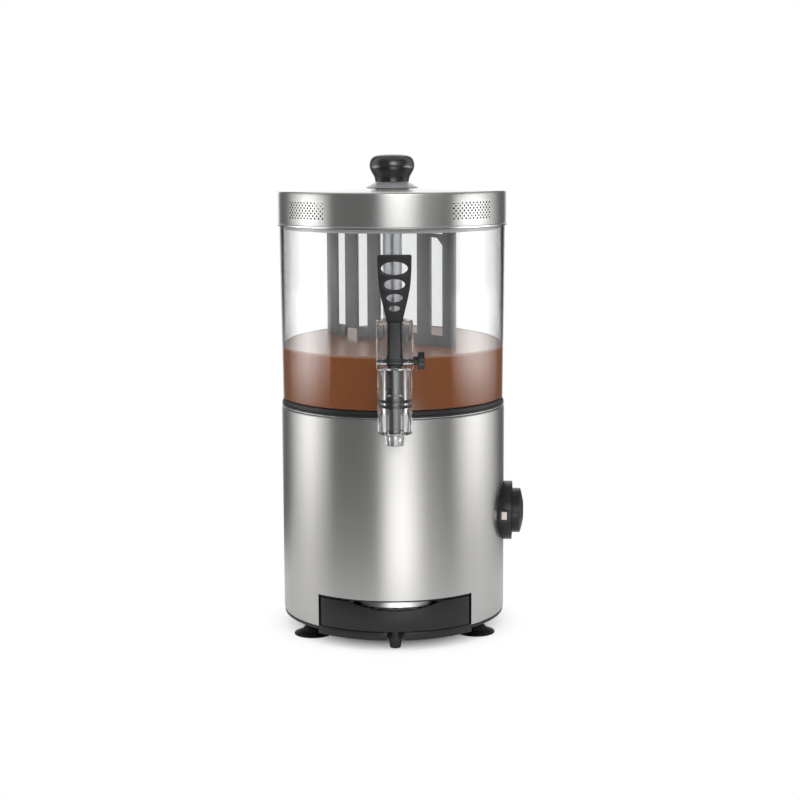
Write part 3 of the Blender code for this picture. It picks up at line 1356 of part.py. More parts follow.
def make_bowl(at):
    """The clear bowl with its drafted wall, floor hole and outlet spigot."""
    floor = BOWL_BOTTOM + BOWL_WALL
    inner_foot = BOWL_FOOT_RADIUS - BOWL_WALL
    profile = [
        (BOWL_RIM_RADIUS, BOWL_TOP),
        (BOWL_FOOT_RADIUS, BOWL_BOTTOM + BOWL_CORNER),
        (BOWL_FOOT_RADIUS - BOWL_CORNER, BOWL_BOTTOM),
        (BOWL_HOLE_RADIUS, BOWL_BOTTOM),
        (BOWL_HOLE_RADIUS, floor),
        (inner_foot - BOWL_CORNER, floor),
        (inner_foot, floor + BOWL_CORNER),
        (BOWL_RIM_RADIUS - BOWL_WALL, BOWL_TOP),
    ]
    bowl = turned("bowl", profile, CLEAR_PLASTIC, at["bowl"], LARGE_STEPS)
    root = -(BOWL_FOOT_RADIUS - BOWL_WALL * HALF_SHARE)
    spigot = rod("spigot", SPIGOT_RADIUS, (0.0, root, SPIGOT_Z), (0.0, SPIGOT_TIP_Y, SPIGOT_Z))
    inside = BOWL_WALL + OVERRUN - BOWL_FOOT_RADIUS
    bore = rod(
        "spigot_bore", SPIGOT_BORE_RADIUS, (0.0, inside, SPIGOT_Z), (0.0, SPIGOT_TIP_Y - OVERRUN, SPIGOT_Z)
    )
    return cut(join(bowl, spigot), bore)


def make_standpipe(at):
    """The standpipe on the bowl's floor and the bush in its top."""
    flange_bottom = BOWL_BOTTOM + BOWL_WALL + CLEARANCE
    flange_top = flange_bottom + PIPE_FLANGE_THICKNESS
    spigot_bottom = BOWL_BOTTOM - PIPE_SPIGOT_LENGTH
    profile = [
        (PIPE_RADIUS, PIPE_TOP),
        (PIPE_RADIUS, flange_top),
        (PIPE_FLANGE_RADIUS, flange_top),
        (PIPE_FLANGE_RADIUS, flange_bottom),
        (PIPE_RADIUS, flange_bottom),
        (PIPE_RADIUS, spigot_bottom),
        (PIPE_BORE_RADIUS, spigot_bottom),
        (PIPE_BORE_RADIUS, PIPE_TOP),
    ]
    turned("bowl_standpipe", profile, CLEAR_PLASTIC, at["bowl"], MEDIUM_STEPS)
    bush_bottom = PIPE_TOP + CLEARANCE
    bush_top = bush_bottom + BUSH_FLANGE_THICKNESS
    bush_profile = [
        (BUSH_FLANGE_RADIUS, bush_top),
        (BUSH_FLANGE_RADIUS, bush_bottom),
        (BUSH_RADIUS, bush_bottom),
        (BUSH_RADIUS, bush_bottom - BUSH_LENGTH),
        (SPINDLE_RADIUS + CLEARANCE, bush_bottom - BUSH_LENGTH),
        (SPINDLE_RADIUS + CLEARANCE, bush_top),
    ]
    turned("spindle_bush", bush_profile, BLACK_PLASTIC, at["bowl"], ROUND_STEPS)


def make_spindle(at):
    """The spindle from the gearbox to the agitator, and its collar on the bracket."""
    middle = (0.0, 0.0, SPINDLE_ROUND_TOP)
    spindle = rod(
        "spindle", SPINDLE_RADIUS, (0.0, 0.0, SPINDLE_BOTTOM), middle, ZINC, at["spindle"], SMALL_STEPS
    )
    half = SPINDLE_SQUARE * HALF_SHARE
    square = box(
        "spindle_square",
        (-half, -half, SPINDLE_ROUND_TOP - half),
        (half, half, SPINDLE_ROUND_TOP + SPINDLE_SQUARE_LENGTH),
    )
    square.rotation_euler = (0.0, 0.0, math.radians(AGITATOR_ANGLE))
    join(spindle, square)
    collar_bottom = BRACKET_PLATE_TOP + CLEARANCE
    profile = [
        (COLLAR_RADIUS, collar_bottom + COLLAR_HEIGHT),
        (COLLAR_RADIUS, collar_bottom),
        (SPINDLE_RADIUS + CLEARANCE, collar_bottom),
        (SPINDLE_RADIUS + CLEARANCE, collar_bottom + COLLAR_HEIGHT),
    ]
    turned("spindle_collar", profile, BRASS, at["spindle"], SMALL_STEPS)


def slot_outline(inner, outer, low, high, chamfer=0.0):
    """Give a slot of the agitator, with a chamfer at its upper outer corner."""
    side = 1.0 if outer > inner else -1.0
    corner = [(outer, high - chamfer), (outer - side * chamfer, high)] if chamfer else [(outer, high)]
    return [(inner, low), (outer, low), *corner, (inner, high)]


def make_agitator(at):
    """The flat agitator with its bars, links and lower window, and the hub cap on top."""
    left = [[-AGITATOR_REACH * share for share in bar] for bar in LEFT_BAR_SHARES]
    right = [[AGITATOR_REACH * share for share in bar] for bar in RIGHT_BAR_SHARES]
    rail = AGITATOR_TOP - AGITATOR_RAIL
    link_top = rail - AGITATOR_LINK_DROP
    link_bottom = link_top - AGITATOR_LINK
    plate = AGITATOR_PLATE_TOP
    corner = AGITATOR_CHAMFER
    reach = right[1][1]
    outline = [
        (-AGITATOR_REACH, AGITATOR_TOP),
        (reach, AGITATOR_TOP),
        (reach, AGITATOR_BOTTOM + corner),
        (reach - corner, AGITATOR_BOTTOM),
        (AGITATOR_INNER, AGITATOR_BOTTOM),
        (AGITATOR_INNER, plate),
        (right[0][0], plate),
        (right[0][0], rail),
        (left[0][0], rail),
        (left[0][0], plate),
        (-AGITATOR_INNER, plate),
        (-AGITATOR_INNER, AGITATOR_BOTTOM),
        (corner - AGITATOR_REACH, AGITATOR_BOTTOM),
        (-AGITATOR_REACH, AGITATOR_BOTTOM + corner),
    ]
    window_top = plate - AGITATOR_WINDOW_DROP
    window_bottom = window_top - AGITATOR_WINDOW_HEIGHT
    holes = [
        slot_outline(left[0][1], left[1][0], plate, rail),
        slot_outline(left[1][1], left[2][0], plate, link_bottom, AGITATOR_SLOT_ROUNDING),
        slot_outline(left[1][1], left[2][0], link_top, rail),
        slot_outline(right[0][1], right[1][0], plate, link_bottom, AGITATOR_CHAMFER),
        slot_outline(right[0][1], right[1][0], link_top, rail),
        slot_outline(left[1][0], left[1][1], window_bottom, window_top),
    ]
    agitator = flat_plate("agitator", [outline], AGITATOR_THICKNESS, GREY_PLASTIC, at["agitator"])
    slots = [
        flat_plate(f"agitator_slot_{index}", [hole], 2 * AGITATOR_THICKNESS, parent=at["agitator"])
        for index, hole in enumerate(holes, 1)
    ]
    top = HUB_BOTTOM + HUB_HEIGHT
    profile = [
        (0.0, top),
        (HUB_RADIUS - HUB_ROUNDING, top),
        (HUB_RADIUS, top - HUB_ROUNDING),
        (HUB_RADIUS, HUB_BOTTOM),
        (0.0, HUB_BOTTOM),
    ]
    hub = turned("hub", profile, steps=MEDIUM_STEPS)
    low = HUB_BOTTOM - OVERRUN
    socket_top = SPINDLE_ROUND_TOP + SPINDLE_SQUARE_LENGTH + RUNNING_GAP
    pipe_bore = rod("hub_pipe_bore", HUB_BORE_RADIUS, (0.0, 0.0, low), (0.0, 0.0, HUB_SEAT))
    shaft_bore = rod(
        "hub_shaft_bore",
        SPINDLE_RADIUS + CLEARANCE,
        (0.0, 0.0, low),
        (0.0, 0.0, SPINDLE_ROUND_TOP + CLEARANCE),
        steps=SMALL_STEPS,
    )
    half = HUB_SQUARE * HALF_SHARE
    socket = box(
        "hub_socket",
        (-half, -half, SPINDLE_ROUND_TOP - half),
        (half, half, socket_top),
        parent=at["agitator"],
    )
    return cut(join(agitator, hub), pipe_bore, shaft_bore, socket, *slots)


def make_tap_body(at):
    """The clear tap body: a tube, a slotted housing for the lever and a boss on the spigot."""
    profile = [
        (0.0, HOUSING_SLOT_FLOOR),
        (TAP_TUBE_RADIUS, HOUSING_SLOT_FLOOR),
        (TAP_TUBE_RADIUS, TAP_TUBE_BOTTOM + TAP_CHAMFER),
        (TAP_TUBE_RADIUS - TAP_CHAMFER, TAP_TUBE_BOTTOM),
        (NOZZLE_RADIUS, TAP_TUBE_BOTTOM),
        (NOZZLE_TIP_RADIUS, TAP_TUBE_BOTTOM - NOZZLE_LENGTH),
        (0.0, TAP_TUBE_BOTTOM - NOZZLE_LENGTH),
    ]
    body = turned("tap_body", profile, CLEAR_PLASTIC, at["tap"], MEDIUM_STEPS)
    housing = box(
        "tap_housing",
        (-HOUSING_HALF_WIDTH, HOUSING_FRONT_Y, HOUSING_BOTTOM),
        (HOUSING_HALF_WIDTH, HOUSING_REAR_Y, HOUSING_TOP),
    )
    rounded(housing, HOUSING_ROUNDING)
    boss = rod("tap_boss", BOSS_RADIUS, (0.0, TAP_Y, SPIGOT_Z), (0.0, BOSS_REAR_Y, SPIGOT_Z))
    join(body, housing, boss)
    bore = rod(
        "tap_bore",
        TAP_BORE_RADIUS,
        (0.0, TAP_Y, TAP_BORE_BOTTOM),
        (0.0, TAP_Y, HOUSING_SLOT_FLOOR + TAP_CHAMFER),
    )
    outlet = upright_bore(
        "tap_outlet", NOZZLE_BORE_RADIUS, 0.0, TAP_Y, TAP_TUBE_BOTTOM - NOZZLE_LENGTH - OVERRUN, SPIGOT_Z
    )
    slot = box(
        "lever_slot",
        (-HOUSING_SLOT_HALF_WIDTH, HOUSING_FRONT_Y - OVERRUN, HOUSING_SLOT_FLOOR),
        (HOUSING_SLOT_HALF_WIDTH, HOUSING_SLOT_REAR_Y, HOUSING_TOP + OVERRUN),
    )
    socket = rod(
        "tap_socket", SOCKET_RADIUS, (0.0, SOCKET_END_Y, SPIGOT_Z), (0.0, BOSS_REAR_Y + OVERRUN, SPIGOT_Z)
    )
    port = rod(
        "tap_port", TAP_PORT_RADIUS, (0.0, TAP_Y, SPIGOT_Z), (0.0, BOSS_REAR_Y, SPIGOT_Z), steps=SMALL_STEPS
    )
    pin_hole = rod(
        "pin_hole",
        PIN_RADIUS + CLEARANCE,
        (-HOUSING_HALF_WIDTH - OVERRUN, LEVER_PIVOT_Y, LEVER_PIVOT_Z),
        (HOUSING_HALF_WIDTH + OVERRUN, LEVER_PIVOT_Y, LEVER_PIVOT_Z),
        steps=SMALL_STEPS,
    )
    cut(body, bore, outlet, slot, socket, port, pin_hole)
    gasket_profile = [
        (TAP_GASKET_RADIUS, TAP_GASKET_THICKNESS),
        (TAP_GASKET_RADIUS, 0.0),
        (SPIGOT_BORE_RADIUS, 0.0),
        (SPIGOT_BORE_RADIUS, TAP_GASKET_THICKNESS),
    ]
    gasket = turned("tap_gasket", gasket_profile, SILICONE, at["bowl"], MEDIUM_STEPS)
    gasket.location = (0.0, SPIGOT_TIP_Y - CLEARANCE, SPIGOT_Z)
    gasket.rotation_euler = (math.pi * HALF_SHARE, 0.0, 0.0)


def make_tap_pin(at):
    """The pivot pin with its round head on the right side of the tap."""
    neck_start = HOUSING_HALF_WIDTH + CLEARANCE
    flange_start = neck_start + PIN_NECK_LENGTH
    flange_end = flange_start + PIN_FLANGE_THICKNESS
    profile = [
        (0.0, flange_end),
        (PIN_FLANGE_RADIUS - PIN_END_SETBACK, flange_end),
        (PIN_FLANGE_RADIUS, flange_end - PIN_END_SETBACK),
        (PIN_FLANGE_RADIUS, flange_start),
        (PIN_NECK_RADIUS, flange_start),
        (PIN_NECK_RADIUS, neck_start),
        (PIN_RADIUS, neck_start),
        (PIN_RADIUS, PIN_END_SETBACK - HOUSING_HALF_WIDTH),
        (0.0, PIN_END_SETBACK - HOUSING_HALF_WIDTH),
    ]
    pin = turned("tap_pin", profile, BLACK_PLASTIC, at["tap"], ROUND_STEPS)
    pin.location = (0.0, LEVER_PIVOT_Y - TAP_Y, LEVER_PIVOT_Z)
    pin.rotation_euler = (0.0, math.pi * HALF_SHARE, 0.0)


def paddle_outline():
    """Give the outline of the lever's flared paddle, in X and Z from the pivot."""
    tip = PADDLE_WIDTH * HALF_SHARE
    flare = PADDLE_LENGTH - PADDLE_FLARE_START
    right = [
        (tip * width_share, PADDLE_FLARE_START + flare * share)
        for share, width_share in PADDLE_EDGE_SHARES
    ]
    right.insert(0, (right[0][0], PADDLE_START))
    corner_height = PADDLE_LENGTH - PADDLE_CORNER
    right += arc(tip - PADDLE_CORNER, corner_height, PADDLE_CORNER, 0.0, 90.0, PADDLE_CORNER_POINTS)
    return right + [(-across, up) for across, up in reversed(right)]


def make_lever(at):
    """The tap lever: an eye on the pin, a neck, a perforated paddle and a nose in the yoke."""
    lever = rod(
        "tap_lever",
        LEVER_EYE_RADIUS,
        (-LEVER_EYE_HALF_WIDTH, 0.0, 0.0),
        (LEVER_EYE_HALF_WIDTH, 0.0, 0.0),
        BLACK_PLASTIC,
        at["lever"],
        ROUND_STEPS,
    )
    half_depth = LEVER_NECK_DEPTH * HALF_SHARE
    neck = box(
        "lever_neck",
        (-LEVER_NECK_HALF_WIDTH, -half_depth, 0.0),
        (LEVER_NECK_HALF_WIDTH, half_depth, LEVER_NECK_TOP),
        parent=at["lever"],
    )
    rounded(neck, LEVER_NECK_ROUNDING)
    holes = []
    for height_share, width_share, depth_share in PADDLE_HOLE_SHARES:
        across = width_share * PADDLE_WIDTH * HALF_SHARE
        up = depth_share * PADDLE_WIDTH * HALF_SHARE
        angles = [2.0 * math.pi * step / PADDLE_HOLE_POINTS for step in range(PADDLE_HOLE_POINTS)]
        middle = height_share * PADDLE_LENGTH
        holes.append([(across * math.cos(angle), middle + up * math.sin(angle)) for angle in angles])
    paddle = flat_plate("lever_paddle", [paddle_outline(), *holes], PADDLE_THICKNESS, parent=at["lever"])
    arm = box(
        "lever_arm",
        (-LEVER_ARM_HALF_WIDTH, 0.0, -LEVER_ARM_HALF_THICKNESS),
        (LEVER_ARM_HALF_WIDTH, LEVER_ARM, LEVER_ARM_HALF_THICKNESS),
        parent=at["lever"],
    )
    nose = rod(
        "lever_nose",
        LEVER_NOSE_RADIUS,
        (-LEVER_NOSE_HALF_WIDTH, LEVER_ARM, 0.0),
        (LEVER_NOSE_HALF_WIDTH, LEVER_ARM, 0.0),
        parent=at["lever"],
        steps=SMALL_STEPS,
    )
    eye = rod(
        "lever_eye",
        LEVER_HOLE_RADIUS,
        (-HOUSING_HALF_WIDTH, 0.0, 0.0),
        (HOUSING_HALF_WIDTH, 0.0, 0.0),
        parent=at["lever"],
        steps=SMALL_STEPS,
    )
    join(arm, nose)
    return cut(join(lever, arm, neck, paddle), eye)


def make_plunger(at):
    """The plunger with its disc, head, guide rib and yoke, and the seal ring round its core."""
    stroke = LEVER_ARM * math.sin(math.radians(LEVER_SWING))
    core_bottom = TAP_SEAL_BOTTOM - CLEARANCE
    profile = [
        (0.0, PLUNGER_HEAD_TOP),
        (PLUNGER_HEAD_RADIUS, PLUNGER_HEAD_TOP),
        (PLUNGER_HEAD_RADIUS, PLUNGER_DISC_TOP),
        (PLUNGER_DISC_RADIUS, PLUNGER_DISC_TOP),
        (PLUNGER_DISC_RADIUS, PLUNGER_DISC_BOTTOM),
        (CORE_RADIUS, PLUNGER_DISC_BOTTOM),
        (CORE_RADIUS, core_bottom),
        (STEM_RADIUS, core_bottom),
        (STEM_RADIUS, PLUNGER_BOTTOM),
        (0.0, PLUNGER_BOTTOM),
    ]
    plunger = turned("tap_plunger", profile, BLACK_PLASTIC, at["plunger"], ROUND_STEPS)
    front_top = LEVER_PIVOT_Z - LEVER_EYE_RADIUS - stroke - RUNNING_GAP
    front_cut = LEVER_ARM - LEVER_EYE_RADIUS - CLEARANCE
    relief = box(
        "head_relief",
        (-TAP_TUBE_RADIUS, -TAP_TUBE_RADIUS, front_top),
        (TAP_TUBE_RADIUS, -front_cut, PLUNGER_HEAD_TOP + OVERRUN),
        parent=at["plunger"],
    )
    rib = box(
        "guide_rib",
        (-PLUNGER_RIB_HALF_WIDTH, -PLUNGER_RIB_REACH, PLUNGER_DISC_TOP - TAP_CHAMFER),
        (PLUNGER_RIB_HALF_WIDTH, 0.0, front_top),
        parent=at["plunger"],
    )
    slot_low, slot_high = LEVER_PIVOT_Z - YOKE_SLOT_BELOW, LEVER_PIVOT_Z + YOKE_SLOT_ABOVE
    yoke = box(
        "yoke",
        (-YOKE_HALF_WIDTH, -YOKE_FRONT_REACH, PLUNGER_DISC_TOP),
        (YOKE_HALF_WIDTH, YOKE_REAR_REACH, slot_high + YOKE_LIP),
        parent=at["plunger"],
    )
    slot = box(
        "yoke_slot",
        (-YOKE_HALF_WIDTH - OVERRUN, -YOKE_FRONT_REACH - OVERRUN, slot_low),
        (YOKE_HALF_WIDTH + OVERRUN, YOKE_SLOT_REAR, slot_high),
        parent=at["plunger"],
    )
    cut(join(cut(plunger, relief), rib, yoke), slot)
    seal_profile = [
        (TAP_SEAL_RADIUS, TAP_SEAL_TOP),
        (TAP_SEAL_RADIUS, TAP_SEAL_BOTTOM),
        (CORE_RADIUS + CLEARANCE, TAP_SEAL_BOTTOM),
        (CORE_RADIUS + CLEARANCE, TAP_SEAL_TOP),
    ]
    turned("tap_seal", seal_profile, BLACK_RUBBER, at["plunger"], MEDIUM_STEPS)


def make_lid_shell(at):
    """The turned-over steel pan of the lid with its crown, corner and hem."""
    crown = LID_TOP + LID_RISE
    corner_across, corner_up = LID_CROWN_RADIUS - LID_CORNER, LID_TOP - LID_CORNER
    profile = [
        (LID_HOLE_RADIUS, crown),
        (LID_FLAT_RADIUS, crown),
        *arc(corner_across, corner_up, LID_CORNER, 90.0, 0.0, 4),
        (LID_SKIRT_RADIUS, LID_BOTTOM + LID_HEM_HEIGHT),
        (LID_SKIRT_RADIUS - LID_HEM_STEP, LID_BOTTOM),
        (LID_SKIRT_RADIUS - LID_SHEET, LID_BOTTOM),
        *arc(corner_across, corner_up, LID_CORNER - LID_SHEET, 0.0, 90.0, 4),
        (LID_FLAT_RADIUS, crown - LID_SHEET),
        (LID_HOLE_RADIUS, crown - LID_SHEET),
    ]
    return turned("lid_shell", profile, LID_STEEL, at["lid"], LARGE_STEPS)


def make_lid_rings(at):
    """The ledge ring inside the skirt and the gasket that it presses on the bowl's rim."""
    ledge_bottom = GASKET_TOP + CLEARANCE
    ledge_profile = [
        (LEDGE_OUTER_RADIUS, ledge_bottom + LEDGE_THICKNESS),
        (LEDGE_OUTER_RADIUS, ledge_bottom),
        (LEDGE_INNER_RADIUS, ledge_bottom),
        (LEDGE_INNER_RADIUS, ledge_bottom + LEDGE_THICKNESS),
    ]
    turned("lid_ledge", ledge_profile, LID_STEEL, at["lid"], LARGE_STEPS)
    leg_outer = GASKET_INNER_RADIUS + GASKET_LEG_THICKNESS
    gasket_profile = [
        (GASKET_OUTER_RADIUS, GASKET_TOP),
        (GASKET_OUTER_RADIUS, GASKET_BOTTOM),
        (leg_outer, GASKET_BOTTOM),
        (leg_outer, GASKET_BOTTOM - GASKET_DEPTH),
        (GASKET_INNER_RADIUS, GASKET_BOTTOM - GASKET_DEPTH),
        (GASKET_INNER_RADIUS, GASKET_TOP),
    ]
    turned("lid_gasket", gasket_profile, SILICONE, at["lid"], LARGE_STEPS)


def make_lid_knob(at):
    """The mushroom knob on its conical collar, with the screw and washer that hold it."""
    bore = LID_HOLE_RADIUS
    cone_profile = [
        (CONE_TOP_RADIUS, CONE_TOP),
        (CONE_BOTTOM_RADIUS, CONE_BOTTOM),
        (bore, CONE_BOTTOM),
        (bore, CONE_TOP),
    ]
    turned("lid_collar", cone_profile, CONE_PLASTIC, at["lid"], MEDIUM_STEPS)
    profile = [
        (GRIP_RADIUS * across, GRIP_BOTTOM + GRIP_HEIGHT * up) for across, up in GRIP_PROFILE_SHARES
    ]
    profile += [
        (GRIP_BORE_RADIUS, GRIP_BOTTOM),
        (GRIP_BORE_RADIUS, GRIP_BOTTOM + GRIP_BORE_DEPTH),
        (0.0, GRIP_BOTTOM + GRIP_BORE_DEPTH),
    ]
    turned("lid_knob", profile, GLOSS_BLACK, at["lid"], MEDIUM_STEPS)
    washer_top = LID_TOP + LID_RISE - LID_SHEET - CLEARANCE
    washer_profile = [
        (WASHER_RADIUS, washer_top),
        (WASHER_RADIUS, washer_top - WASHER_THICKNESS),
        (bore, washer_top - WASHER_THICKNESS),
        (bore, washer_top),
    ]
    turned("lid_washer", washer_profile, ZINC, at["lid"], MEDIUM_STEPS)
    head_top = washer_top - WASHER_THICKNESS - CLEARANCE
    tip = GRIP_BOTTOM + GRIP_BORE_DEPTH - CLEARANCE
    screw_profile = [
        (0.0, tip),
        (LID_SCREW_RADIUS, tip),
        (LID_SCREW_RADIUS, head_top),
        (LID_SCREW_HEAD_RADIUS, head_top),
        (LID_SCREW_HEAD_RADIUS, head_top - LID_SCREW_HEAD_HEIGHT),
        (0.0, head_top - LID_SCREW_HEAD_HEIGHT),
    ]
    turned("lid_screw", screw_profile, ZINC, at["lid"], SMALL_STEPS)


def main():
    """Build the whole machine."""
    at = make_empties()
    make_body_shell(at)
    make_bottom_pan(at)
    make_tray_channel(at)
    make_water_bath(at)
    make_seat_ring(at)
    make_heating(at)
    make_drive(at)
    make_electrics(at)
    make_heat_control(at)
    make_tray_drawer(at)
    make_tray_grid(at)
    make_tray_peg(at)
    make_bowl(at)
    make_standpipe(at)
    make_spindle(at)
    make_agitator(at)
    make_tap_body(at)
    make_tap_pin(at)
    make_lever(at)
    make_plunger(at)
    make_lid_shell(at)
    make_lid_rings(at)
    make_lid_knob(at)


main()
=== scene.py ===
"""Looks of a countertop hot chocolate dispenser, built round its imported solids.

Units are metres and +Z is up. The tap faces -Y and the heat control faces +X, turned a
little to the front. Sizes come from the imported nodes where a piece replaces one, and any
other size is a field of the class that makes the piece. Sheet, wall and fillet sizes are
those of the real pieces.
"""

from __future__ import annotations

import logging
import math
from collections.abc import Sequence
from dataclasses import dataclass
from enum import Enum

import bmesh
import bpy
from mathutils import Matrix, Vector

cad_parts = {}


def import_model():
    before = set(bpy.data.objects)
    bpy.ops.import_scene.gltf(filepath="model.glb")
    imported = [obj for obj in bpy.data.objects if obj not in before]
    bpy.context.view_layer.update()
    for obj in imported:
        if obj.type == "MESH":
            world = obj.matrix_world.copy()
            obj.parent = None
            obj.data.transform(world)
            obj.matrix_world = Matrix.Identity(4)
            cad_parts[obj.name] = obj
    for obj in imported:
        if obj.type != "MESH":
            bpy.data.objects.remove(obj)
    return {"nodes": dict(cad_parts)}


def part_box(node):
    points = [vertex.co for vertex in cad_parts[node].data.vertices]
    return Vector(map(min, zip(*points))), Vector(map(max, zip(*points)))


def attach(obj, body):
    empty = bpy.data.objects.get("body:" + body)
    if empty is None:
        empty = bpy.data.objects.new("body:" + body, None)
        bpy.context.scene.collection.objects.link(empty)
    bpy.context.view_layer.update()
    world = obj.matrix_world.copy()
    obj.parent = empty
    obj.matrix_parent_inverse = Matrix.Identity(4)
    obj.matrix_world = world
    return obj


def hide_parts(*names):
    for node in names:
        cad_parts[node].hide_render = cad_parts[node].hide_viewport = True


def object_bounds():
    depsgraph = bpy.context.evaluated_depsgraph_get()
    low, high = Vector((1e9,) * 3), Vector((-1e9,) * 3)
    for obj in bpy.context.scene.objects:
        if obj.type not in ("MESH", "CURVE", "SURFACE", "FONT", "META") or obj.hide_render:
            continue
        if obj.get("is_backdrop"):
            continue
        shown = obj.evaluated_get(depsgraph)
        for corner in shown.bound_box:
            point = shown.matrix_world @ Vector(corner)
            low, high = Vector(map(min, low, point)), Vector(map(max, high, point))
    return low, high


LOG = logging.getLogger("dispenser")
MM = 0.001
HALF = 0.5
FULL_TURN = 2.0 * math.pi
QUARTER_TURN = math.pi * HALF

FINE_STEPS = 256
ROUND_STEPS = 96
SMALL_STEPS = 48
FILLET_STEPS = 5
WELD = 0.001 * MM
SHARP_ANGLE = math.radians(32.0)
OVERRUN = 10.0 * MM
WETTING = 0.3 * MM

Corner = tuple[float, float, float]
Outline = Sequence[tuple[float, float]]


class Axis(Enum):
    """The direction that a turned piece's own Z axis takes in the frame."""

    UP = "up"
    BACK = "back"
    RIGHT = "right"

    def turn(self) -> Matrix:
        """Give the rotation from local Z to this direction."""
        if self is Axis.BACK:
            return Matrix.Rotation(-QUARTER_TURN, 4, "X")
        if self is Axis.RIGHT:
            return Matrix.Rotation(QUARTER_TURN, 4, "Y")
        return Matrix.Identity(4)


# A noise texture stays almost wholly between these two values.
NOISE_LOW = 0.3
NOISE_HIGH = 0.7
# How finely a copied solid is rounded.
FINE_EDGE = 0.3 * MM
WIDE_EDGE = 0.4 * MM
SRGB_STEPS = 255.0
SRGB_KNEE = 0.04045
SRGB_SLOPE = 12.92
SRGB_OFFSET = 0.055
SRGB_POWER = 2.4


def linear(code: str) -> tuple[float, float, float, float]:
    """Turn an sRGB hex colour into linear RGBA.

    Args:
        code: Six hex digits after a hash, such as "#7d4e32".

    Returns:
        The linear colour with full alpha.
    """
    shares = [int(code[start : start + 2], 16) / SRGB_STEPS for start in (1, 3, 5)]
    whole = 1.0 + SRGB_OFFSET
    levels = [
        share / SRGB_SLOPE if share <= SRGB_KNEE else ((share + SRGB_OFFSET) / whole) ** SRGB_POWER
        for share in shares
    ]
    return (levels[0], levels[1], levels[2], 1.0)


def add_node(
    tree: bpy.types.NodeTree,
    kind: str,
    settings: dict[str, object] | None = None,
    inputs: dict[str | int, object] | None = None,
) -> bpy.types.Node:
    """Add a shader node with its settings, and set or link its sockets.

    Args:
        tree: The node tree that gets the node.
        kind: The node's type name.
        settings: Properties of the node.
        inputs: A value, or a socket to link from, for each named or numbered input.

    Returns:
        The new node.
    """
    node = tree.nodes.new(kind)
    for name, value in (settings or {}).items():
        setattr(node, name, value)
    for key, value in (inputs or {}).items():
        if isinstance(value, bpy.types.NodeSocket):
            tree.links.new(value, node.inputs[key])
        else:
            node.inputs[key].default_value = value
    return node


def new_material(name: str) -> tuple[bpy.types.Material, bpy.types.NodeTree, bpy.types.Node]:
    """Make an empty node material.

    Args:
        name: The material's name.

    Returns:
        The material, its node tree and its output node.
    """
    material = bpy.data.materials.new(name)
    material.use_nodes = True
    material.node_tree.nodes.clear()
    return material, material.node_tree, add_node(material.node_tree, "ShaderNodeOutputMaterial")


def from_bmesh(name: str, shape: bmesh.types.BMesh, turn: Matrix | None = None) -> bpy.types.Object:
    """Turn a bmesh into a smooth shaded object in the scene.

    Args:
        name: The object's name.
        shape: The bmesh, which is freed.
        turn: A transform of its points, if any.

    Returns:
        The new object, its origin at the frame's origin.
    """
    if turn is not None:
        bmesh.ops.transform(shape, matrix=turn, verts=shape.verts)
    bmesh.ops.recalc_face_normals(shape, faces=shape.faces)
    mesh = bpy.data.meshes.new(name)
    shape.to_mesh(mesh)
    shape.free()
    obj = bpy.data.objects.new(name, mesh)
    bpy.context.scene.collection.objects.link(obj)
    return smooth(obj)


def smooth(obj: bpy.types.Object) -> bpy.types.Object:
    """Shade an object smooth, with its real edges kept sharp."""
    obj.data.shade_smooth()
    obj.data.set_sharp_from_angle(angle=SHARP_ANGLE)
    return obj


def settled(obj: bpy.types.Object) -> bpy.types.Object:
    """Apply an object's modifiers.

    Args:
        obj: A mesh object with modifiers.

    Returns:
        The same object with its final mesh.
    """
    graph = bpy.context.evaluated_depsgraph_get()
    mesh = bpy.data.meshes.new_from_object(obj.evaluated_get(graph))
    obj.modifiers.clear()
    obj.data = mesh
    mesh.name = obj.name
    return smooth(obj)


def filleted(corners: Sequence[Corner], closed: bool = True) -> list[tuple[float, float]]:
    """Round the corners of an outline.

    Args:
        corners: Each corner as its two coordinates and its fillet radius.
        closed: Whether the last corner joins the first.

    Returns:
        The outline's points with an arc at each rounded corner.
    """
    points: list[tuple[float, float]] = []
    last = len(corners) - 1
    for index, (across, up, radius) in enumerate(corners):
        if radius <= 0.0 or (not closed and index in (0, last)):
            points.append((across, up))
            continue
        here = Vector((across, up))
        before = Vector(corners[index - 1][:2]) - here
        after = Vector(corners[(index + 1) % len(corners)][:2]) - here
        reach = radius / math.tan(before.angle(after) * HALF)
        reach = min(reach, before.length * HALF, after.length * HALF)
        start, end = here + before.normalized() * reach, here + after.normalized() * reach
        for step in range(FILLET_STEPS + 1):
            share = step / FILLET_STEPS
            point = start.lerp(here, share).lerp(here.lerp(end, share), share)
            points.append((point.x, point.y))
    return points


def rounded(points: Sequence[tuple[float, float]], roundings: Sequence[float]) -> list[Corner]:
    """Give each point of a profile its rounding.

    Args:
        points: Radius and height of each corner.
        roundings: The fillet of each corner in millimetres.

    Returns:
        The corners.
    """
    return [(radius, height, fillet * MM) for (radius, height), fillet in zip(points, roundings)]


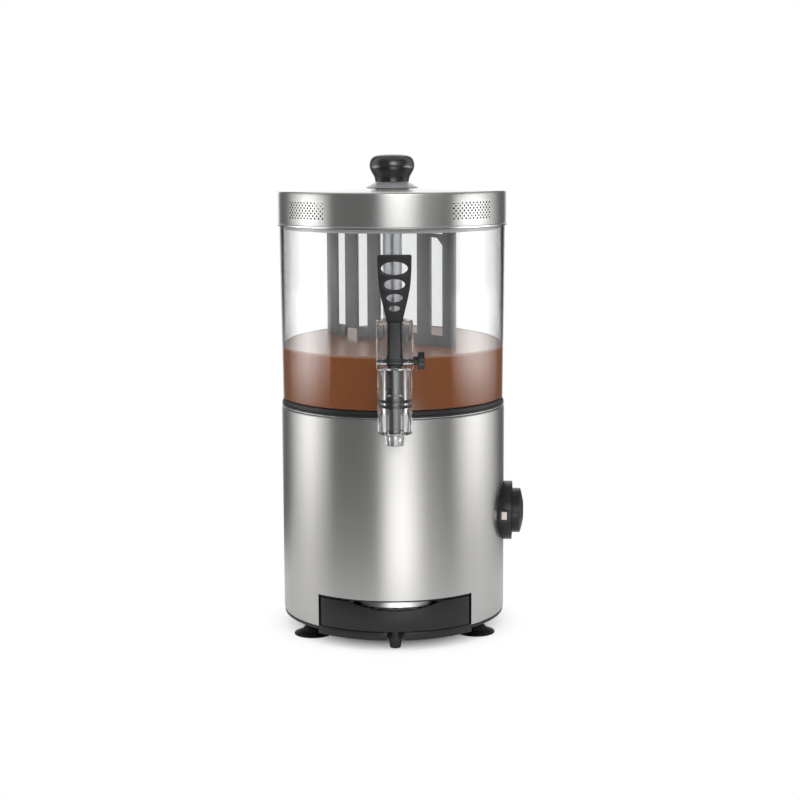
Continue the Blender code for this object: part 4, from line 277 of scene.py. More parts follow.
def turned(
    name: str,
    corners: Sequence[Corner],
    steps: int = ROUND_STEPS,
    centre: Vector | None = None,
    axis: Axis = Axis.UP,
    turn: Matrix | None = None,
) -> bpy.types.Object:
    """Turn a profile about an axis.

    Args:
        name: The object's name.
        corners: Radius, height and fillet of each corner. A profile that starts and ends
            on the axis is open there, and any other is closed.
        steps: How many steps go round.
        centre: Where the axis passes, if not through the origin.
        axis: The direction of the axis.
        turn: A transform used in place of centre and axis.

    Returns:
        The turned object.
    """
    closed = corners[0][0] > 0.0 or corners[-1][0] > 0.0
    profile = filleted(corners, closed)
    shape = bmesh.new()
    rings = []
    for radius, height in profile:
        if radius <= 0.0:
            rings.append([shape.verts.new((0.0, 0.0, height))] * steps)
            continue
        angles = [FULL_TURN * step / steps for step in range(steps)]
        rings.append([shape.verts.new((radius * math.cos(a), radius * math.sin(a), height)) for a in angles])
    pairs = list(zip(rings, rings[1:]))
    if closed:
        pairs.append((rings[-1], rings[0]))
    for first, second in pairs:
        for step in range(steps):
            after = (step + 1) % steps
            loop = [first[step], first[after], second[after], second[step]]
            face = [vert for place, vert in enumerate(loop) if vert is not loop[place - 1]]
            if len(face) > 2:
                shape.faces.new(face)
    if turn is None:
        turn = Matrix.Translation(centre or Vector()) @ axis.turn()
    return from_bmesh(name, shape, turn)


def through(before: Vector, start: Vector, end: Vector, after: Vector, share: float) -> Vector:
    """Give a point of a smooth curve that passes through its guide points.

    Args:
        before: The guide point before the span.
        start: The point that the span starts at.
        end: The point that it ends at.
        after: The guide point after it.
        share: How far along the span the point lies.

    Returns:
        The point.
    """
    square, cube = share * share, share * share * share
    return HALF * (
        start * 2.0
        + (end - before) * share
        + (before * 2.0 - start * 5.0 + end * 4.0 - after) * square
        + (after - before + (start - end) * 3.0) * cube
    )


def block(
    name: str, low: Sequence[float], high: Sequence[float], turn: Matrix | None = None
) -> bpy.types.Object:
    """Make a box from its lowest to its highest corner.

    Args:
        name: The object's name.
        low: Its lowest corner.
        high: Its highest corner.
        turn: A transform of its points, if any.

    Returns:
        The box.
    """
    shape = bmesh.new()
    bmesh.ops.create_cube(shape, size=1.0)
    size = Vector(high) - Vector(low)
    bmesh.ops.scale(shape, vec=size, verts=shape.verts)
    bmesh.ops.translate(shape, vec=(Vector(high) + Vector(low)) * HALF, verts=shape.verts)
    return from_bmesh(name, shape, turn)


def rod(
    name: str, radius: float, start: Sequence[float], end: Sequence[float], steps: int = SMALL_STEPS
) -> bpy.types.Object:
    """Make a cylinder from one point to another.

    Args:
        name: The object's name.
        radius: Its radius.
        start: The middle of its first end.
        end: The middle of its other end.
        steps: How many sides it has.

    Returns:
        The cylinder.
    """
    line = Vector(end) - Vector(start)
    middle = Matrix.Translation((Vector(start) + Vector(end)) * HALF)
    shape = bmesh.new()
    bmesh.ops.create_cone(
        shape, cap_ends=True, segments=steps, radius1=radius, radius2=radius, depth=line.length
    )
    return from_bmesh(name, shape, middle @ line.to_track_quat("Z", "Y").to_matrix().to_4x4())


def plate(
    name: str, outlines: Sequence[Outline], thickness: float, rounding: float, turn: Matrix | None = None
) -> bpy.types.Object:
    """Make a moulded plate with rounded edges from outlines in its local X and Y.

    Args:
        name: The object's name.
        outlines: The outer outline and then its holes.
        thickness: The whole thickness.
        rounding: The radius of the edges.
        turn: A transform of its points, if any.

    Returns:
        The plate.
    """
    curve = bpy.data.curves.new(name, "CURVE")
    curve.dimensions = "2D"
    curve.fill_mode = "BOTH"
    curve.extrude = thickness * HALF - rounding
    curve.bevel_depth = rounding
    curve.bevel_resolution = 2
    curve.offset = -rounding
    for outline in outlines:
        spline = curve.splines.new("POLY")
        spline.points.add(len(outline) - 1)
        for point, (across, up) in zip(spline.points, outline):
            point.co = (across, up, 0.0, 1.0)
        spline.use_cyclic_u = True
    guide = bpy.data.objects.new(name + "_outline", curve)
    bpy.context.scene.collection.objects.link(guide)
    graph = bpy.context.evaluated_depsgraph_get()
    mesh = bpy.data.meshes.new_from_object(guide.evaluated_get(graph))
    bpy.data.objects.remove(guide, do_unlink=True)
    shape = bmesh.new()
    shape.from_mesh(mesh)
    bpy.data.meshes.remove(mesh)
    bmesh.ops.remove_doubles(shape, verts=shape.verts, dist=WELD)
    return from_bmesh(name, shape, turn)


def combined(obj: bpy.types.Object, operation: str, tools: Sequence[bpy.types.Object]) -> bpy.types.Object:
    """Run one Boolean operation with several tools, and remove the tools.

    Args:
        obj: The object that changes.
        operation: UNION, DIFFERENCE or INTERSECT.
        tools: The other objects.

    Returns:
        The same object with its new mesh.
    """
    for tool in tools:
        modifier = obj.modifiers.new(tool.name, "BOOLEAN")
        modifier.operation = operation
        modifier.object = tool
    settled(obj)
    for tool in tools:
        bpy.data.objects.remove(tool, do_unlink=True)
    return obj


def joined(obj: bpy.types.Object, *tools: bpy.types.Object) -> bpy.types.Object:
    """Add the tools to an object as one solid."""
    return combined(obj, "UNION", tools)


def cut(obj: bpy.types.Object, *tools: bpy.types.Object) -> bpy.types.Object:
    """Take the tools out of an object."""
    return combined(obj, "DIFFERENCE", tools)


def eased(
    obj: bpy.types.Object, radius: float, segments: int = 3, angle: float = SHARP_ANGLE
) -> bpy.types.Object:
    """Round the sharp edges of an object.

    Args:
        obj: The object.
        radius: The width of the rounding.
        segments: How many facets it has.
        angle: The least angle of an edge that is rounded.

    Returns:
        The same object with its new mesh.
    """
    weld = obj.modifiers.new("weld", "WELD")
    weld.merge_threshold = WELD
    bevel = obj.modifiers.new("ease", "BEVEL")
    bevel.width = radius
    bevel.segments = segments
    bevel.limit_method = "ANGLE"
    bevel.angle_limit = angle
    bevel.harden_normals = False
    return settled(obj)


def refined(
    node: str, name: str, rounding: float, segments: int = 2, angle: float = SHARP_ANGLE
) -> bpy.types.Object:
    """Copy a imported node's shape and round its edges.

    Args:
        node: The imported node.
        name: The new object's name.
        rounding: The width of the rounding.
        segments: How many facets it has.
        angle: The least angle of an edge that is rounded.

    Returns:
        The finer object.
    """
    shape = bmesh.new()
    shape.from_mesh(bpy.data.objects[node].data)
    bmesh.ops.remove_doubles(shape, verts=shape.verts, dist=WELD)
    flat = math.radians(0.4)
    bmesh.ops.dissolve_limit(shape, angle_limit=flat, verts=shape.verts, edges=shape.edges)
    return eased(from_bmesh(name, shape), rounding, segments, angle)


def placed(
    obj: bpy.types.Object,
    finish: bpy.types.Material,
    body: str,
    slot: str,
    *nodes: str,
) -> bpy.types.Object:
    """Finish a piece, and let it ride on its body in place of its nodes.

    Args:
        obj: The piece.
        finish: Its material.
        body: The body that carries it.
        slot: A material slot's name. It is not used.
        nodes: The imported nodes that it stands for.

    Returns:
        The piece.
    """
    obj.data.materials.clear()
    obj.data.materials.append(finish)
    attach(obj, body)
    if nodes:
        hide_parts(*nodes)
    LOG.info("%s rides on %s, %d faces", obj.name, body, len(obj.data.polygons))
    return obj


@dataclass(frozen=True)
class BrushedSteel:
    """Stainless steel sheet, brushed in fine lines round the machine's axis.

    The grooves spread a reflection upwards and keep it narrow sideways, so the light and
    dark of the room stand on the metal as soft upright bands. The fine level lines and a
    slow change of tone are what is left of the brushing.
    """

    name: str
    colour: str
    roughness: float
    spread: float
    line_height: float = 0.7 * MM
    line_length: float = 45.0 * MM
    contrast: float = 0.035
    relief: float = 0.004 * MM
    line_detail: float = 5.0
    line_roughness: float = 0.72
    cloud_size: float = 60.0 * MM
    cloud_share: float = 0.25
    wear: float = 0.08
    bump: float = 0.35
    quarter_turn: float = 0.25

    def material(self) -> bpy.types.Material:
        """Build the node material.

        Returns:
            The material.
        """
        material, tree, output = new_material(self.name)
        place = add_node(tree, "ShaderNodeTexCoord").outputs["Object"]
        parts = add_node(tree, "ShaderNodeSeparateXYZ", inputs={"Vector": place})
        flat = add_node(
            tree,
            "ShaderNodeVectorMath",
            {"operation": "MULTIPLY"},
            {0: place, 1: (1.0, 1.0, 0.0)},
        )
        radius = add_node(tree, "ShaderNodeVectorMath", {"operation": "LENGTH"}, {0: flat.outputs[0]})
        across = add_node(
            tree, "ShaderNodeMath", {"operation": "ADD"}, {0: radius.outputs["Value"], 1: parts.outputs["Z"]}
        )
        rows = add_node(
            tree,
            "ShaderNodeCombineXYZ",
            inputs={"X": parts.outputs["X"], "Y": parts.outputs["Y"], "Z": across.outputs[0]},
        )
        stretch = add_node(
            tree,
            "ShaderNodeMapping",
            inputs={
                "Vector": rows.outputs[0],
                "Scale": (1.0 / self.line_length, 1.0 / self.line_length, 1.0 / self.line_height),
            },
        )
        lines = add_node(
            tree,
            "ShaderNodeTexNoise",
            inputs={
                "Vector": stretch.outputs[0],
                "Scale": 1.0,
                "Detail": self.line_detail,
                "Roughness": self.line_roughness,
            },
        )
        clouds = add_node(
            tree,
            "ShaderNodeTexNoise",
            inputs={"Vector": place, "Scale": 1.0 / self.cloud_size, "Detail": 1.0},
        )
        tone = add_node(
            tree,
            "ShaderNodeMix",
            {"data_type": "FLOAT"},
            {"Factor": self.cloud_share, "A": lines.outputs["Fac"], "B": clouds.outputs["Fac"]},
        )
        level = add_node(
            tree,
            "ShaderNodeMapRange",
            inputs={
                "Value": tone.outputs[0],
                "From Min": NOISE_LOW,
                "From Max": NOISE_HIGH,
                "To Min": 1.0 - self.contrast,
                "To Max": 1.0 + self.contrast,
            },
        )
        colour = add_node(
            tree,
            "ShaderNodeVectorMath",
            {"operation": "SCALE"},
            {0: linear(self.colour)[:3], "Scale": level.outputs[0]},
        )
        rough = add_node(
            tree,
            "ShaderNodeMapRange",
            inputs={
                "Value": lines.outputs["Fac"],
                "From Min": NOISE_LOW,
                "From Max": NOISE_HIGH,
                "To Min": self.roughness * (1.0 - self.wear),
                "To Max": self.roughness * (1.0 + self.wear),
            },
        )
        bump = add_node(
            tree,
            "ShaderNodeBump",
            inputs={"Strength": self.bump, "Distance": self.relief, "Height": lines.outputs["Fac"]},
        )
        tangent = add_node(tree, "ShaderNodeTangent", {"direction_type": "RADIAL", "axis": "Z"})
        add_node(
            tree,
            "ShaderNodeBsdfPrincipled",
            inputs={
                "Base Color": colour.outputs[0],
                "Metallic": 1.0,
                "Roughness": rough.outputs[0],
                "Anisotropic": self.spread,
                "Anisotropic Rotation": self.quarter_turn,
                "Tangent": tangent.outputs[0],
                "Normal": bump.outputs[0],
            },
        )
        tree.links.new(tree.nodes["Principled BSDF"].outputs[0], output.inputs["Surface"])
        return material


@dataclass(frozen=True)
class Moulding:
    """An opaque moulding in plastic, rubber, silicone or ceramic.

    A fine texture from the tool breaks up its highlights, its tone drifts a little over the piece, and its convex
    edges are painted a little paler.
    """

    name: str
    colour: str
    roughness: float
    grain: float = 0.9 * MM
    relief: float = 0.012 * MM
    drift: float = 0.06
    edge: float = 0.0
    ior: float = 1.5
    coat: float = 0.0
    glow: float = 0.0
    glow_depth: float = 1.0 * MM

    def material(self) -> bpy.types.Material:
        """Build the node material.

        Returns:
            The material.
        """
        material, tree, output = new_material(self.name)
        place = add_node(tree, "ShaderNodeTexCoord").outputs["Object"]
        fine = add_node(
            tree,
            "ShaderNodeTexNoise",
            inputs={"Vector": place, "Scale": 1.0 / self.grain, "Detail": 3.0, "Roughness": 0.6},
        )
        clouds = add_node(
            tree,
            "ShaderNodeTexNoise",
            inputs={"Vector": place, "Scale": 1.0 / (22.0 * MM), "Detail": 2.0},
        )
        level = add_node(
            tree,
            "ShaderNodeMapRange",
            inputs={
                "Value": clouds.outputs["Fac"],
                "From Min": NOISE_LOW,
                "From Max": NOISE_HIGH,
                "To Min": 1.0 - self.drift,
                "To Max": 1.0 + self.drift,
            },
        )
        # The convex edges are painted a little paler, where the surface's pointiness is high.
        pale_edge = add_node(
            tree,
            "ShaderNodeMapRange",
            inputs={
                "Value": add_node(tree, "ShaderNodeNewGeometry").outputs["Pointiness"],
                "From Min": 0.52,
                "From Max": 0.62,
                "To Min": 0.0,
                "To Max": self.edge,
            },
        )
        total = add_node(
            tree, "ShaderNodeMath", {"operation": "ADD"}, {0: level.outputs[0], 1: pale_edge.outputs[0]}
        )
        colour = add_node(
            tree,
            "ShaderNodeVectorMath",
            {"operation": "SCALE"},
            {0: linear(self.colour)[:3], "Scale": total.outputs[0]},
        )
        rough = add_node(
            tree,
            "ShaderNodeMapRange",
            inputs={
                "Value": fine.outputs["Fac"],
                "From Min": NOISE_LOW,
                "From Max": NOISE_HIGH,
                "To Min": self.roughness * 0.88,
                "To Max": min(1.0, self.roughness * 1.12),
            },
        )
        bump = add_node(
            tree,
            "ShaderNodeBump",
            inputs={"Strength": 0.5, "Distance": self.relief, "Height": fine.outputs["Fac"]},
        )
        add_node(
            tree,
            "ShaderNodeBsdfPrincipled",
            inputs={
                "Base Color": colour.outputs[0],
                "Roughness": rough.outputs[0],
                "IOR": self.ior,
                "Coat Weight": self.coat,
                "Coat Roughness": 0.12,
                "Subsurface Weight": self.glow,
                "Subsurface Scale": self.glow_depth,
                "Normal": bump.outputs[0],
            },
        )
        tree.links.new(tree.nodes["Principled BSDF"].outputs[0], output.inputs["Surface"])
        return material


@dataclass(frozen=True)
class PlatedMetal:
    """Zinc plate, brass or another plain metal of the small hardware.

    Its tone is mottled by the bath or the lathe, and its roughness changes with it.
    """

    name: str
    colour: str
    roughness: float
    mottle: float = 3.0 * MM
    contrast: float = 0.12

    def material(self) -> bpy.types.Material:
        """Build the node material.

        Returns:
            The material.
        """
        material, tree, output = new_material(self.name)
        place = add_node(tree, "ShaderNodeTexCoord").outputs["Object"]
        spots = add_node(
            tree,
            "ShaderNodeTexNoise",
            inputs={"Vector": place, "Scale": 1.0 / self.mottle, "Detail": 4.0, "Distortion": 0.6},
        )
        level = add_node(
            tree,
            "ShaderNodeMapRange",
            inputs={
                "Value": spots.outputs["Fac"],
                "From Min": NOISE_LOW,
                "From Max": NOISE_HIGH,
                "To Min": 1.0 - self.contrast,
                "To Max": 1.0 + self.contrast,
            },
        )
        colour = add_node(
            tree,
            "ShaderNodeVectorMath",
            {"operation": "SCALE"},
            {0: linear(self.colour)[:3], "Scale": level.outputs[0]},
        )
        rough = add_node(
            tree,
            "ShaderNodeMath",
            {"operation": "MULTIPLY"},
            {0: level.outputs[0], 1: self.roughness},
        )
        add_node(
            tree,
            "ShaderNodeBsdfPrincipled",
            inputs={"Base Color": colour.outputs[0], "Metallic": 1.0, "Roughness": rough.outputs[0]},
        )
        tree.links.new(tree.nodes["Principled BSDF"].outputs[0], output.inputs["Surface"])
        return material


@dataclass(frozen=True)
class ClearMoulding:
    """A see-through moulding, such as polycarbonate or a lamp's lens.

    It bends and mirrors the room at its edges. Handling leaves a very faint haze of fine
    marks, which shows as a slow change of its gloss.
    """

    name: str
    tint: str
    ior: float
    roughness: float = 0.0
    haze: float = 0.02
    marks: float = 7.0 * MM

    def material(self) -> bpy.types.Material:
        """Build the node material.

        Returns:
            The material.
        """
        material, tree, output = new_material(self.name)
        place = add_node(tree, "ShaderNodeTexCoord").outputs["Object"]
        marks = add_node(
            tree,
            "ShaderNodeTexNoise",
            inputs={"Vector": place, "Scale": 1.0 / self.marks, "Detail": 3.0},
        )
        rough = add_node(
            tree,
            "ShaderNodeMapRange",
            inputs={
                "Value": marks.outputs["Fac"],
                "From Min": 0.45,
                "From Max": 0.75,
                "To Min": self.roughness,
                "To Max": self.roughness + self.haze,
            },
        )
        add_node(
            tree,
            "ShaderNodeBsdfPrincipled",
            inputs={
                "Base Color": linear(self.tint),
                "Roughness": rough.outputs[0],
                "IOR": self.ior,
                "Transmission Weight": 1.0,
            },
        )
        tree.links.new(tree.nodes["Principled BSDF"].outputs[0], output.inputs["Surface"])
        return material


@dataclass(frozen=True)
class Drink:
    """Hot chocolate at rest in the bowl.

    It is an even milky brown. A band at its top is painted slightly paler and pinker: partly a skin of froth,
    partly a painted reflection on the surface seen at a glancing angle. Fine bubbles run along its edge.
    """

    name: str
    body: str
    skin_and_sheen: str
    top: float
    skin_depth: float
    skin_share: float = 0.4
    swirl: float = 35.0 * MM
    swirl_detail: float = 3.0
    swirl_turn: float = 0.8
    bubble: float = 1.6 * MM
    bubble_depth: float = 0.05 * MM
    bump: float = 0.25
    drift: float = 0.05
    roughness: float = 0.35
    ior: float = 1.34

    def material(self) -> bpy.types.Material:
        """Build the node material.

        Returns:
            The material.
        """
        material, tree, output = new_material(self.name)
        place = add_node(tree, "ShaderNodeTexCoord").outputs["Object"]
        parts = add_node(tree, "ShaderNodeSeparateXYZ", inputs={"Vector": place})
        swirls = add_node(
            tree,
            "ShaderNodeTexNoise",
            inputs={
                "Vector": place,
                "Scale": 1.0 / self.swirl,
                "Detail": self.swirl_detail,
                "Distortion": self.swirl_turn,
            },
        )
        froth = add_node(
            tree,
            "ShaderNodeTexVoronoi",
            inputs={"Vector": place, "Scale": 1.0 / self.bubble},
        )
        near_top = add_node(
            tree,
            "ShaderNodeMapRange",
            inputs={
                "Value": parts.outputs["Z"],
                "From Min": self.top - self.skin_depth,
                "From Max": self.top - self.skin_depth * self.skin_share,
                "To Min": 0.0,
                "To Max": 1.0,
            },
        )
        drift = add_node(
            tree,
            "ShaderNodeMapRange",
            inputs={
                "Value": swirls.outputs["Fac"],
                "From Min": NOISE_LOW,
                "From Max": NOISE_HIGH,
                "To Min": 1.0 - self.drift,
                "To Max": 1.0 + self.drift,
            },
        )
        even = add_node(
            tree,
            "ShaderNodeVectorMath",
            {"operation": "SCALE"},
            {0: linear(self.body)[:3], "Scale": drift.outputs[0]},
        )
        # Painted reflection: near the top the colour blends to a paler, pinker one, which stands for a froth skin
        # and for the sheen of the glancing surface.
        colour = add_node(
            tree,
            "ShaderNodeMix",
            {"data_type": "RGBA"},
            {"Factor": near_top.outputs[0], 6: even.outputs[0], 7: linear(self.skin_and_sheen)},
        )
        bump = add_node(
            tree,
            "ShaderNodeBump",
            inputs={
                "Strength": self.bump,
                "Distance": self.bubble_depth,
                "Height": froth.outputs["Distance"],
            },
        )
        add_node(
            tree,
            "ShaderNodeBsdfPrincipled",
            inputs={
                "Base Color": colour.outputs[2],
                "Roughness": self.roughness,
                "IOR": self.ior,
                "Normal": bump.outputs[0],
            },
        )
        tree.links.new(tree.nodes["Principled BSDF"].outputs[0], output.inputs["Surface"])
        return material


@dataclass(frozen=True)
class Studio:
    """A white product studio: camera, floor, soft lamps and the fields that metal mirrors.

    Bearings are in degrees round the machine from its front, positive to its right. A
    field is a row of (bearing, level) stops, where a level of 1 is white.
    """

    eye: tuple[float, float, float] = (-0.0181, -1.4627, 0.412)
    look_down: float = 8.6
    look_left: float = -1.1
    swing: float = 0.145
    lean: float = -0.23
    lens: float = 73.8
    film: float = 36.0
    plain_level: float = 0.74
    brightest: float = 6.0
    clip_end: float = 100.0
    lamp_aim: tuple[float, float, float] = (0.0, 0.0, 0.2)
    lamps: tuple[tuple[str, tuple[float, float, float], float, float], ...] = (
        ("left_softbox", (-1.3, -0.9, 1.0), 1.0, 7.0),
        ("right_softbox", (1.3, -0.9, 1.0), 1.0, 7.0),
        ("top_softbox", (0.0, -0.3, 1.8), 1.2, 9.0),
    )
    ceiling_blend: tuple[float, float] = (0.62, 0.85)
    walls: tuple[tuple[float, float], ...] = (
        (-180.0, 1.40),
        (-164.0, 1.20),
        (-152.0, 0.14),
        (-130.0, 0.18),
        (-114.0, 0.70),
        (-86.0, 0.75),
        (-74.0, 0.19),
        (-18.0, 0.17),
        (-8.0, 0.40),
        (18.0, 0.50),
        (30.0, 0.28),
        (56.0, 0.20),
        (78.0, 0.20),
        (88.0, 0.65),
        (116.0, 0.65),
        (132.0, 0.18),
        (152.0, 0.12),
        (164.0, 1.20),
        (180.0, 1.40),
    )
    side_panels: tuple[tuple[float, float], ...] = (
        (-140.0, 0.00),
        (-130.0, 0.40),
        (-118.0, 1.50),
        (-106.0, 3.40),
        (-96.0, 5.00),
        (-86.0, 4.60),
        (-77.0, 3.10),
        (-66.0, 1.70),
        (-64.5, 0.00),
        (58.0, 0.00),
        (60.0, 1.00),
        (68.0, 3.00),
        (76.0, 4.50),
        (86.0, 5.20),
        (96.0, 4.60),
        (107.0, 3.00),
        (120.0, 1.30),
        (132.0, 0.40),
        (140.0, 0.00),
    )
    front_panel: tuple[tuple[float, float], ...] = (
        (-16.0, 0.00),
        (-4.0, 3.30),
        (8.0, 4.30),
        (18.0, 2.90),
        (30.0, 0.85),
        (56.0, 0.30),
        (70.0, 0.00),
    )
    far_panels: float = 0.28
    panel_near: tuple[float, float] = (0.60, 1.60)
    panel_far: tuple[float, float] = (3.0, 5.0)
    panel_top: tuple[float, float] = (0.28, 0.10)
    front_near: tuple[float, float] = (1.10, 0.60)
    front_low: tuple[float, float] = (0.06, 0.18)
    front_high: tuple[float, float] = (0.60, 0.40)
    ceiling: float = 0.55
    floor_radius: float = 6.0
    floor_colour: str = "#f4f4f4"
    fade_start: float = 0.055
    fade_end: float = 0.125
    mirror_start: float = 0.18
    mirror_end: float = 0.50

    def camera(self) -> bpy.types.Object:
        """Place the camera at the photograph's viewing angle.

        Returns:
            The camera.
        """
        data = bpy.data.cameras.new("camera")
        data.lens = self.lens
        data.sensor_width = self.film
        data.clip_end = self.clip_end
        camera = bpy.data.objects.new("camera", data)
        bpy.context.scene.collection.objects.link(camera)
        heading = Matrix.Rotation(math.radians(self.look_left + self.swing), 4, "Z")
        tilt = Matrix.Rotation(math.radians(90.0 - self.look_down), 4, "X")
        roll = Matrix.Rotation(math.radians(self.lean), 4, "Z")
        camera.matrix_world = Matrix.Translation(self.eye) @ heading @ tilt @ roll
        bpy.context.scene.camera = camera
        return camera

    def field_level(
        self, tree: bpy.types.NodeTree, share: bpy.types.NodeSocket, stops: tuple[tuple[float, float], ...]
    ) -> bpy.types.NodeSocket:
        """Look up a field's level.

        Args:
            tree: The node tree.
            share: The bearing as a share of a full turn, starting at the back.
            stops: The field's stops.

        Returns:
            The level, as a share of the brightest.
        """
        ramp = add_node(tree, "ShaderNodeValToRGB", inputs={"Fac": share})
        elements = ramp.color_ramp.elements
        for index, (bearing, level) in enumerate(stops):
            place = bearing / 360.0 + HALF
            element = elements[index] if index < 2 else elements.new(place)
            element.position = place
            shade = level / self.brightest
            element.color = (shade, shade, shade, 1.0)
        return ramp.outputs["Color"]

    def ramped(
        self,
        tree: bpy.types.NodeTree,
        value: bpy.types.NodeSocket,
        ends: tuple[float, float],
        low: float = 0.0,
    ) -> bpy.types.NodeSocket:
        """Rise smoothly to 1 between two values.

        Args:
            tree: The node tree.
            value: The value that is looked at.
            ends: Where the rise starts and ends.
            low: What it rises from.

        Returns:
            The result.
        """
        return add_node(
            tree,
            "ShaderNodeMapRange",
            {"interpolation_type": "SMOOTHSTEP"},
            {"Value": value, "From Min": ends[0], "From Max": ends[1], "To Min": low, "To Max": 1.0},
        ).outputs[0]

    def surroundings(
        self,
        tree: bpy.types.NodeTree,
        direction: bpy.types.NodeSocket,
        side: bpy.types.NodeSocket | None = None,
        front: bpy.types.NodeSocket | None = None,
    ) -> bpy.types.NodeSocket:
        """Give the level of the studio in a direction, as metal and gloss mirror it.

        Args:
            tree: The node tree.
            direction: A direction from the machine.
            side: How much of the side panels is seen there, or None to go by its height.
            front: How much of the front panel is seen there, or None to go by its height.

        Returns:
            The level, as a share of the brightest.
        """
        parts = add_node(tree, "ShaderNodeSeparateXYZ", inputs={"Vector": direction})
        ahead = add_node(tree, "ShaderNodeMath", {"operation": "MULTIPLY"}, {0: parts.outputs["Y"], 1: -1.0})
        bearing = add_node(
            tree, "ShaderNodeMath", {"operation": "ARCTAN2"}, {0: parts.outputs["X"], 1: ahead.outputs[0]}
        )
        share = add_node(
            tree,
            "ShaderNodeMath",
            {"operation": "MULTIPLY_ADD"},
            {0: bearing.outputs[0], 1: 1.0 / FULL_TURN, 2: HALF},
        ).outputs[0]
        height = parts.outputs["Z"]
        shade = self.ceiling / self.brightest
        whole = add_node(
            tree,
            "ShaderNodeMix",
            {"data_type": "RGBA"},
            {
                "Factor": self.ramped(tree, height, self.ceiling_blend),
                6: self.field_level(tree, share, self.walls),
                7: (shade, shade, shade, 1.0),
            },
        ).outputs[2]
        if side is None:
            side = add_node(
                tree,
                "ShaderNodeMath",
                {"operation": "MULTIPLY"},
                {0: self.ramped(tree, height, self.panel_top), 1: self.far_panels},
            ).outputs[0]
        if front is None:
            front = add_node(
                tree,
                "ShaderNodeMath",
                {"operation": "MULTIPLY"},
                {0: self.ramped(tree, height, self.front_low), 1: self.ramped(tree, height, self.front_high)},
            ).outputs[0]
        for stops, shown in ((self.side_panels, side), (self.front_panel, front)):
            lit = add_node(
                tree,
                "ShaderNodeVectorMath",
                {"operation": "SCALE"},
                {0: self.field_level(tree, share, stops), "Scale": shown},
            )
            whole = add_node(
                tree, "ShaderNodeVectorMath", {"operation": "MAXIMUM"}, {0: whole, 1: lit.outputs[0]}
            ).outputs[0]
        return whole

    def mirrored(self, tree: bpy.types.NodeTree, rays: bpy.types.Node) -> bpy.types.NodeSocket:
        """Tell a ray that something has mirrored from one that only passes through.

        Args:
            tree: The node tree.
            rays: Its Light Path node.

        Returns:
            1 for a mirrored ray, else 0.
        """
        bounced = add_node(
            tree, "ShaderNodeMath", {"operation": "MINIMUM"}, {0: rays.outputs["Glossy Depth"], 1: 1.0}
        )
        sharp = add_node(
            tree, "ShaderNodeMath", {"operation": "SUBTRACT"}, {0: 1.0, 1: rays.outputs["Is Diffuse Ray"]}
        )
        return add_node(
            tree,
            "ShaderNodeMath",
            {"operation": "MULTIPLY"},
            {0: bounced.outputs[0], 1: sharp.outputs[0]},
        ).outputs[0]

    def world(self) -> None:
        """Light the scene evenly, with white behind it and the studio's fields in its gloss."""
        world = bpy.data.worlds.new("studio")
        bpy.context.scene.world = world
        world.use_nodes = True
        world.cycles.sampling_method = "NONE"
        tree = world.node_tree
        tree.nodes.clear()
        rays = add_node(tree, "ShaderNodeLightPath")
        seen = add_node(
            tree,
            "ShaderNodeMath",
            {"operation": "MAXIMUM"},
            {0: rays.outputs["Is Camera Ray"], 1: rays.outputs["Is Transmission Ray"]},
        )
        plain = add_node(tree, "ShaderNodeBackground", inputs={"Strength": self.plain_level})
        plain.inputs["Color"].default_value = (1.0, 1.0, 1.0, 1.0)
        white = add_node(
            tree, "ShaderNodeBackground", inputs={"Color": (1.0, 1.0, 1.0, 1.0), "Strength": 1.0}
        )
        direction = add_node(tree, "ShaderNodeTexCoord").outputs["Generated"]
        fields = add_node(
            tree,
            "ShaderNodeBackground",
            inputs={"Color": self.surroundings(tree, direction), "Strength": self.brightest},
        )
        backdrop = add_node(
            tree, "ShaderNodeMixShader", inputs={0: seen.outputs[0], 1: plain.outputs[0], 2: white.outputs[0]}
        )
        whole = add_node(
            tree,
            "ShaderNodeMixShader",
            inputs={0: self.mirrored(tree, rays), 1: backdrop.outputs[0], 2: fields.outputs[0]},
        )
        add_node(tree, "ShaderNodeOutputWorld", inputs={"Surface": whole.outputs[0]})

    def floor_paper(self) -> bpy.types.Material:
        """Build the pale floor, which turns white with distance and keeps the shadow near.

        Returns:
            The material.
        """
        material, tree, output = new_material("white_studio_paper")
        material.cycles.emission_sampling = "NONE"
        place = add_node(tree, "ShaderNodeNewGeometry").outputs["Position"]
        flat = add_node(
            tree, "ShaderNodeVectorMath", {"operation": "MULTIPLY"}, {0: place, 1: (1.0, 1.0, 0.0)}
        )
        radius = add_node(
            tree, "ShaderNodeVectorMath", {"operation": "LENGTH"}, {0: flat.outputs[0]}
        ).outputs["Value"]
        far = add_node(
            tree,
            "ShaderNodeMapRange",
            {"interpolation_type": "SMOOTHSTEP"},
            {"Value": radius, "From Min": self.fade_start, "From Max": self.fade_end},
        )
        off = add_node(
            tree,
            "ShaderNodeMapRange",
            {"interpolation_type": "SMOOTHSTEP"},
            {"Value": radius, "From Min": self.mirror_start, "From Max": self.mirror_end},
        )
        rays = add_node(tree, "ShaderNodeLightPath")
        seen = add_node(
            tree,
            "ShaderNodeMath",
            {"operation": "MAXIMUM"},
            {0: rays.outputs["Is Camera Ray"], 1: rays.outputs["Is Transmission Ray"]},
        )
        fibres = add_node(
            tree, "ShaderNodeTexNoise", inputs={"Vector": place, "Scale": 1.0 / (4.0 * MM), "Detail": 4.0}
        )
        bump = add_node(
            tree,
            "ShaderNodeBump",
            inputs={"Strength": 0.1, "Distance": 0.05 * MM, "Height": fibres.outputs["Fac"]},
        )
        paper = add_node(
            tree,
            "ShaderNodeBsdfDiffuse",
            inputs={"Color": linear(self.floor_colour), "Normal": bump.outputs[0]},
        )
        white = add_node(tree, "ShaderNodeEmission", inputs={"Color": (1.0, 1.0, 1.0, 1.0), "Strength": 1.0})
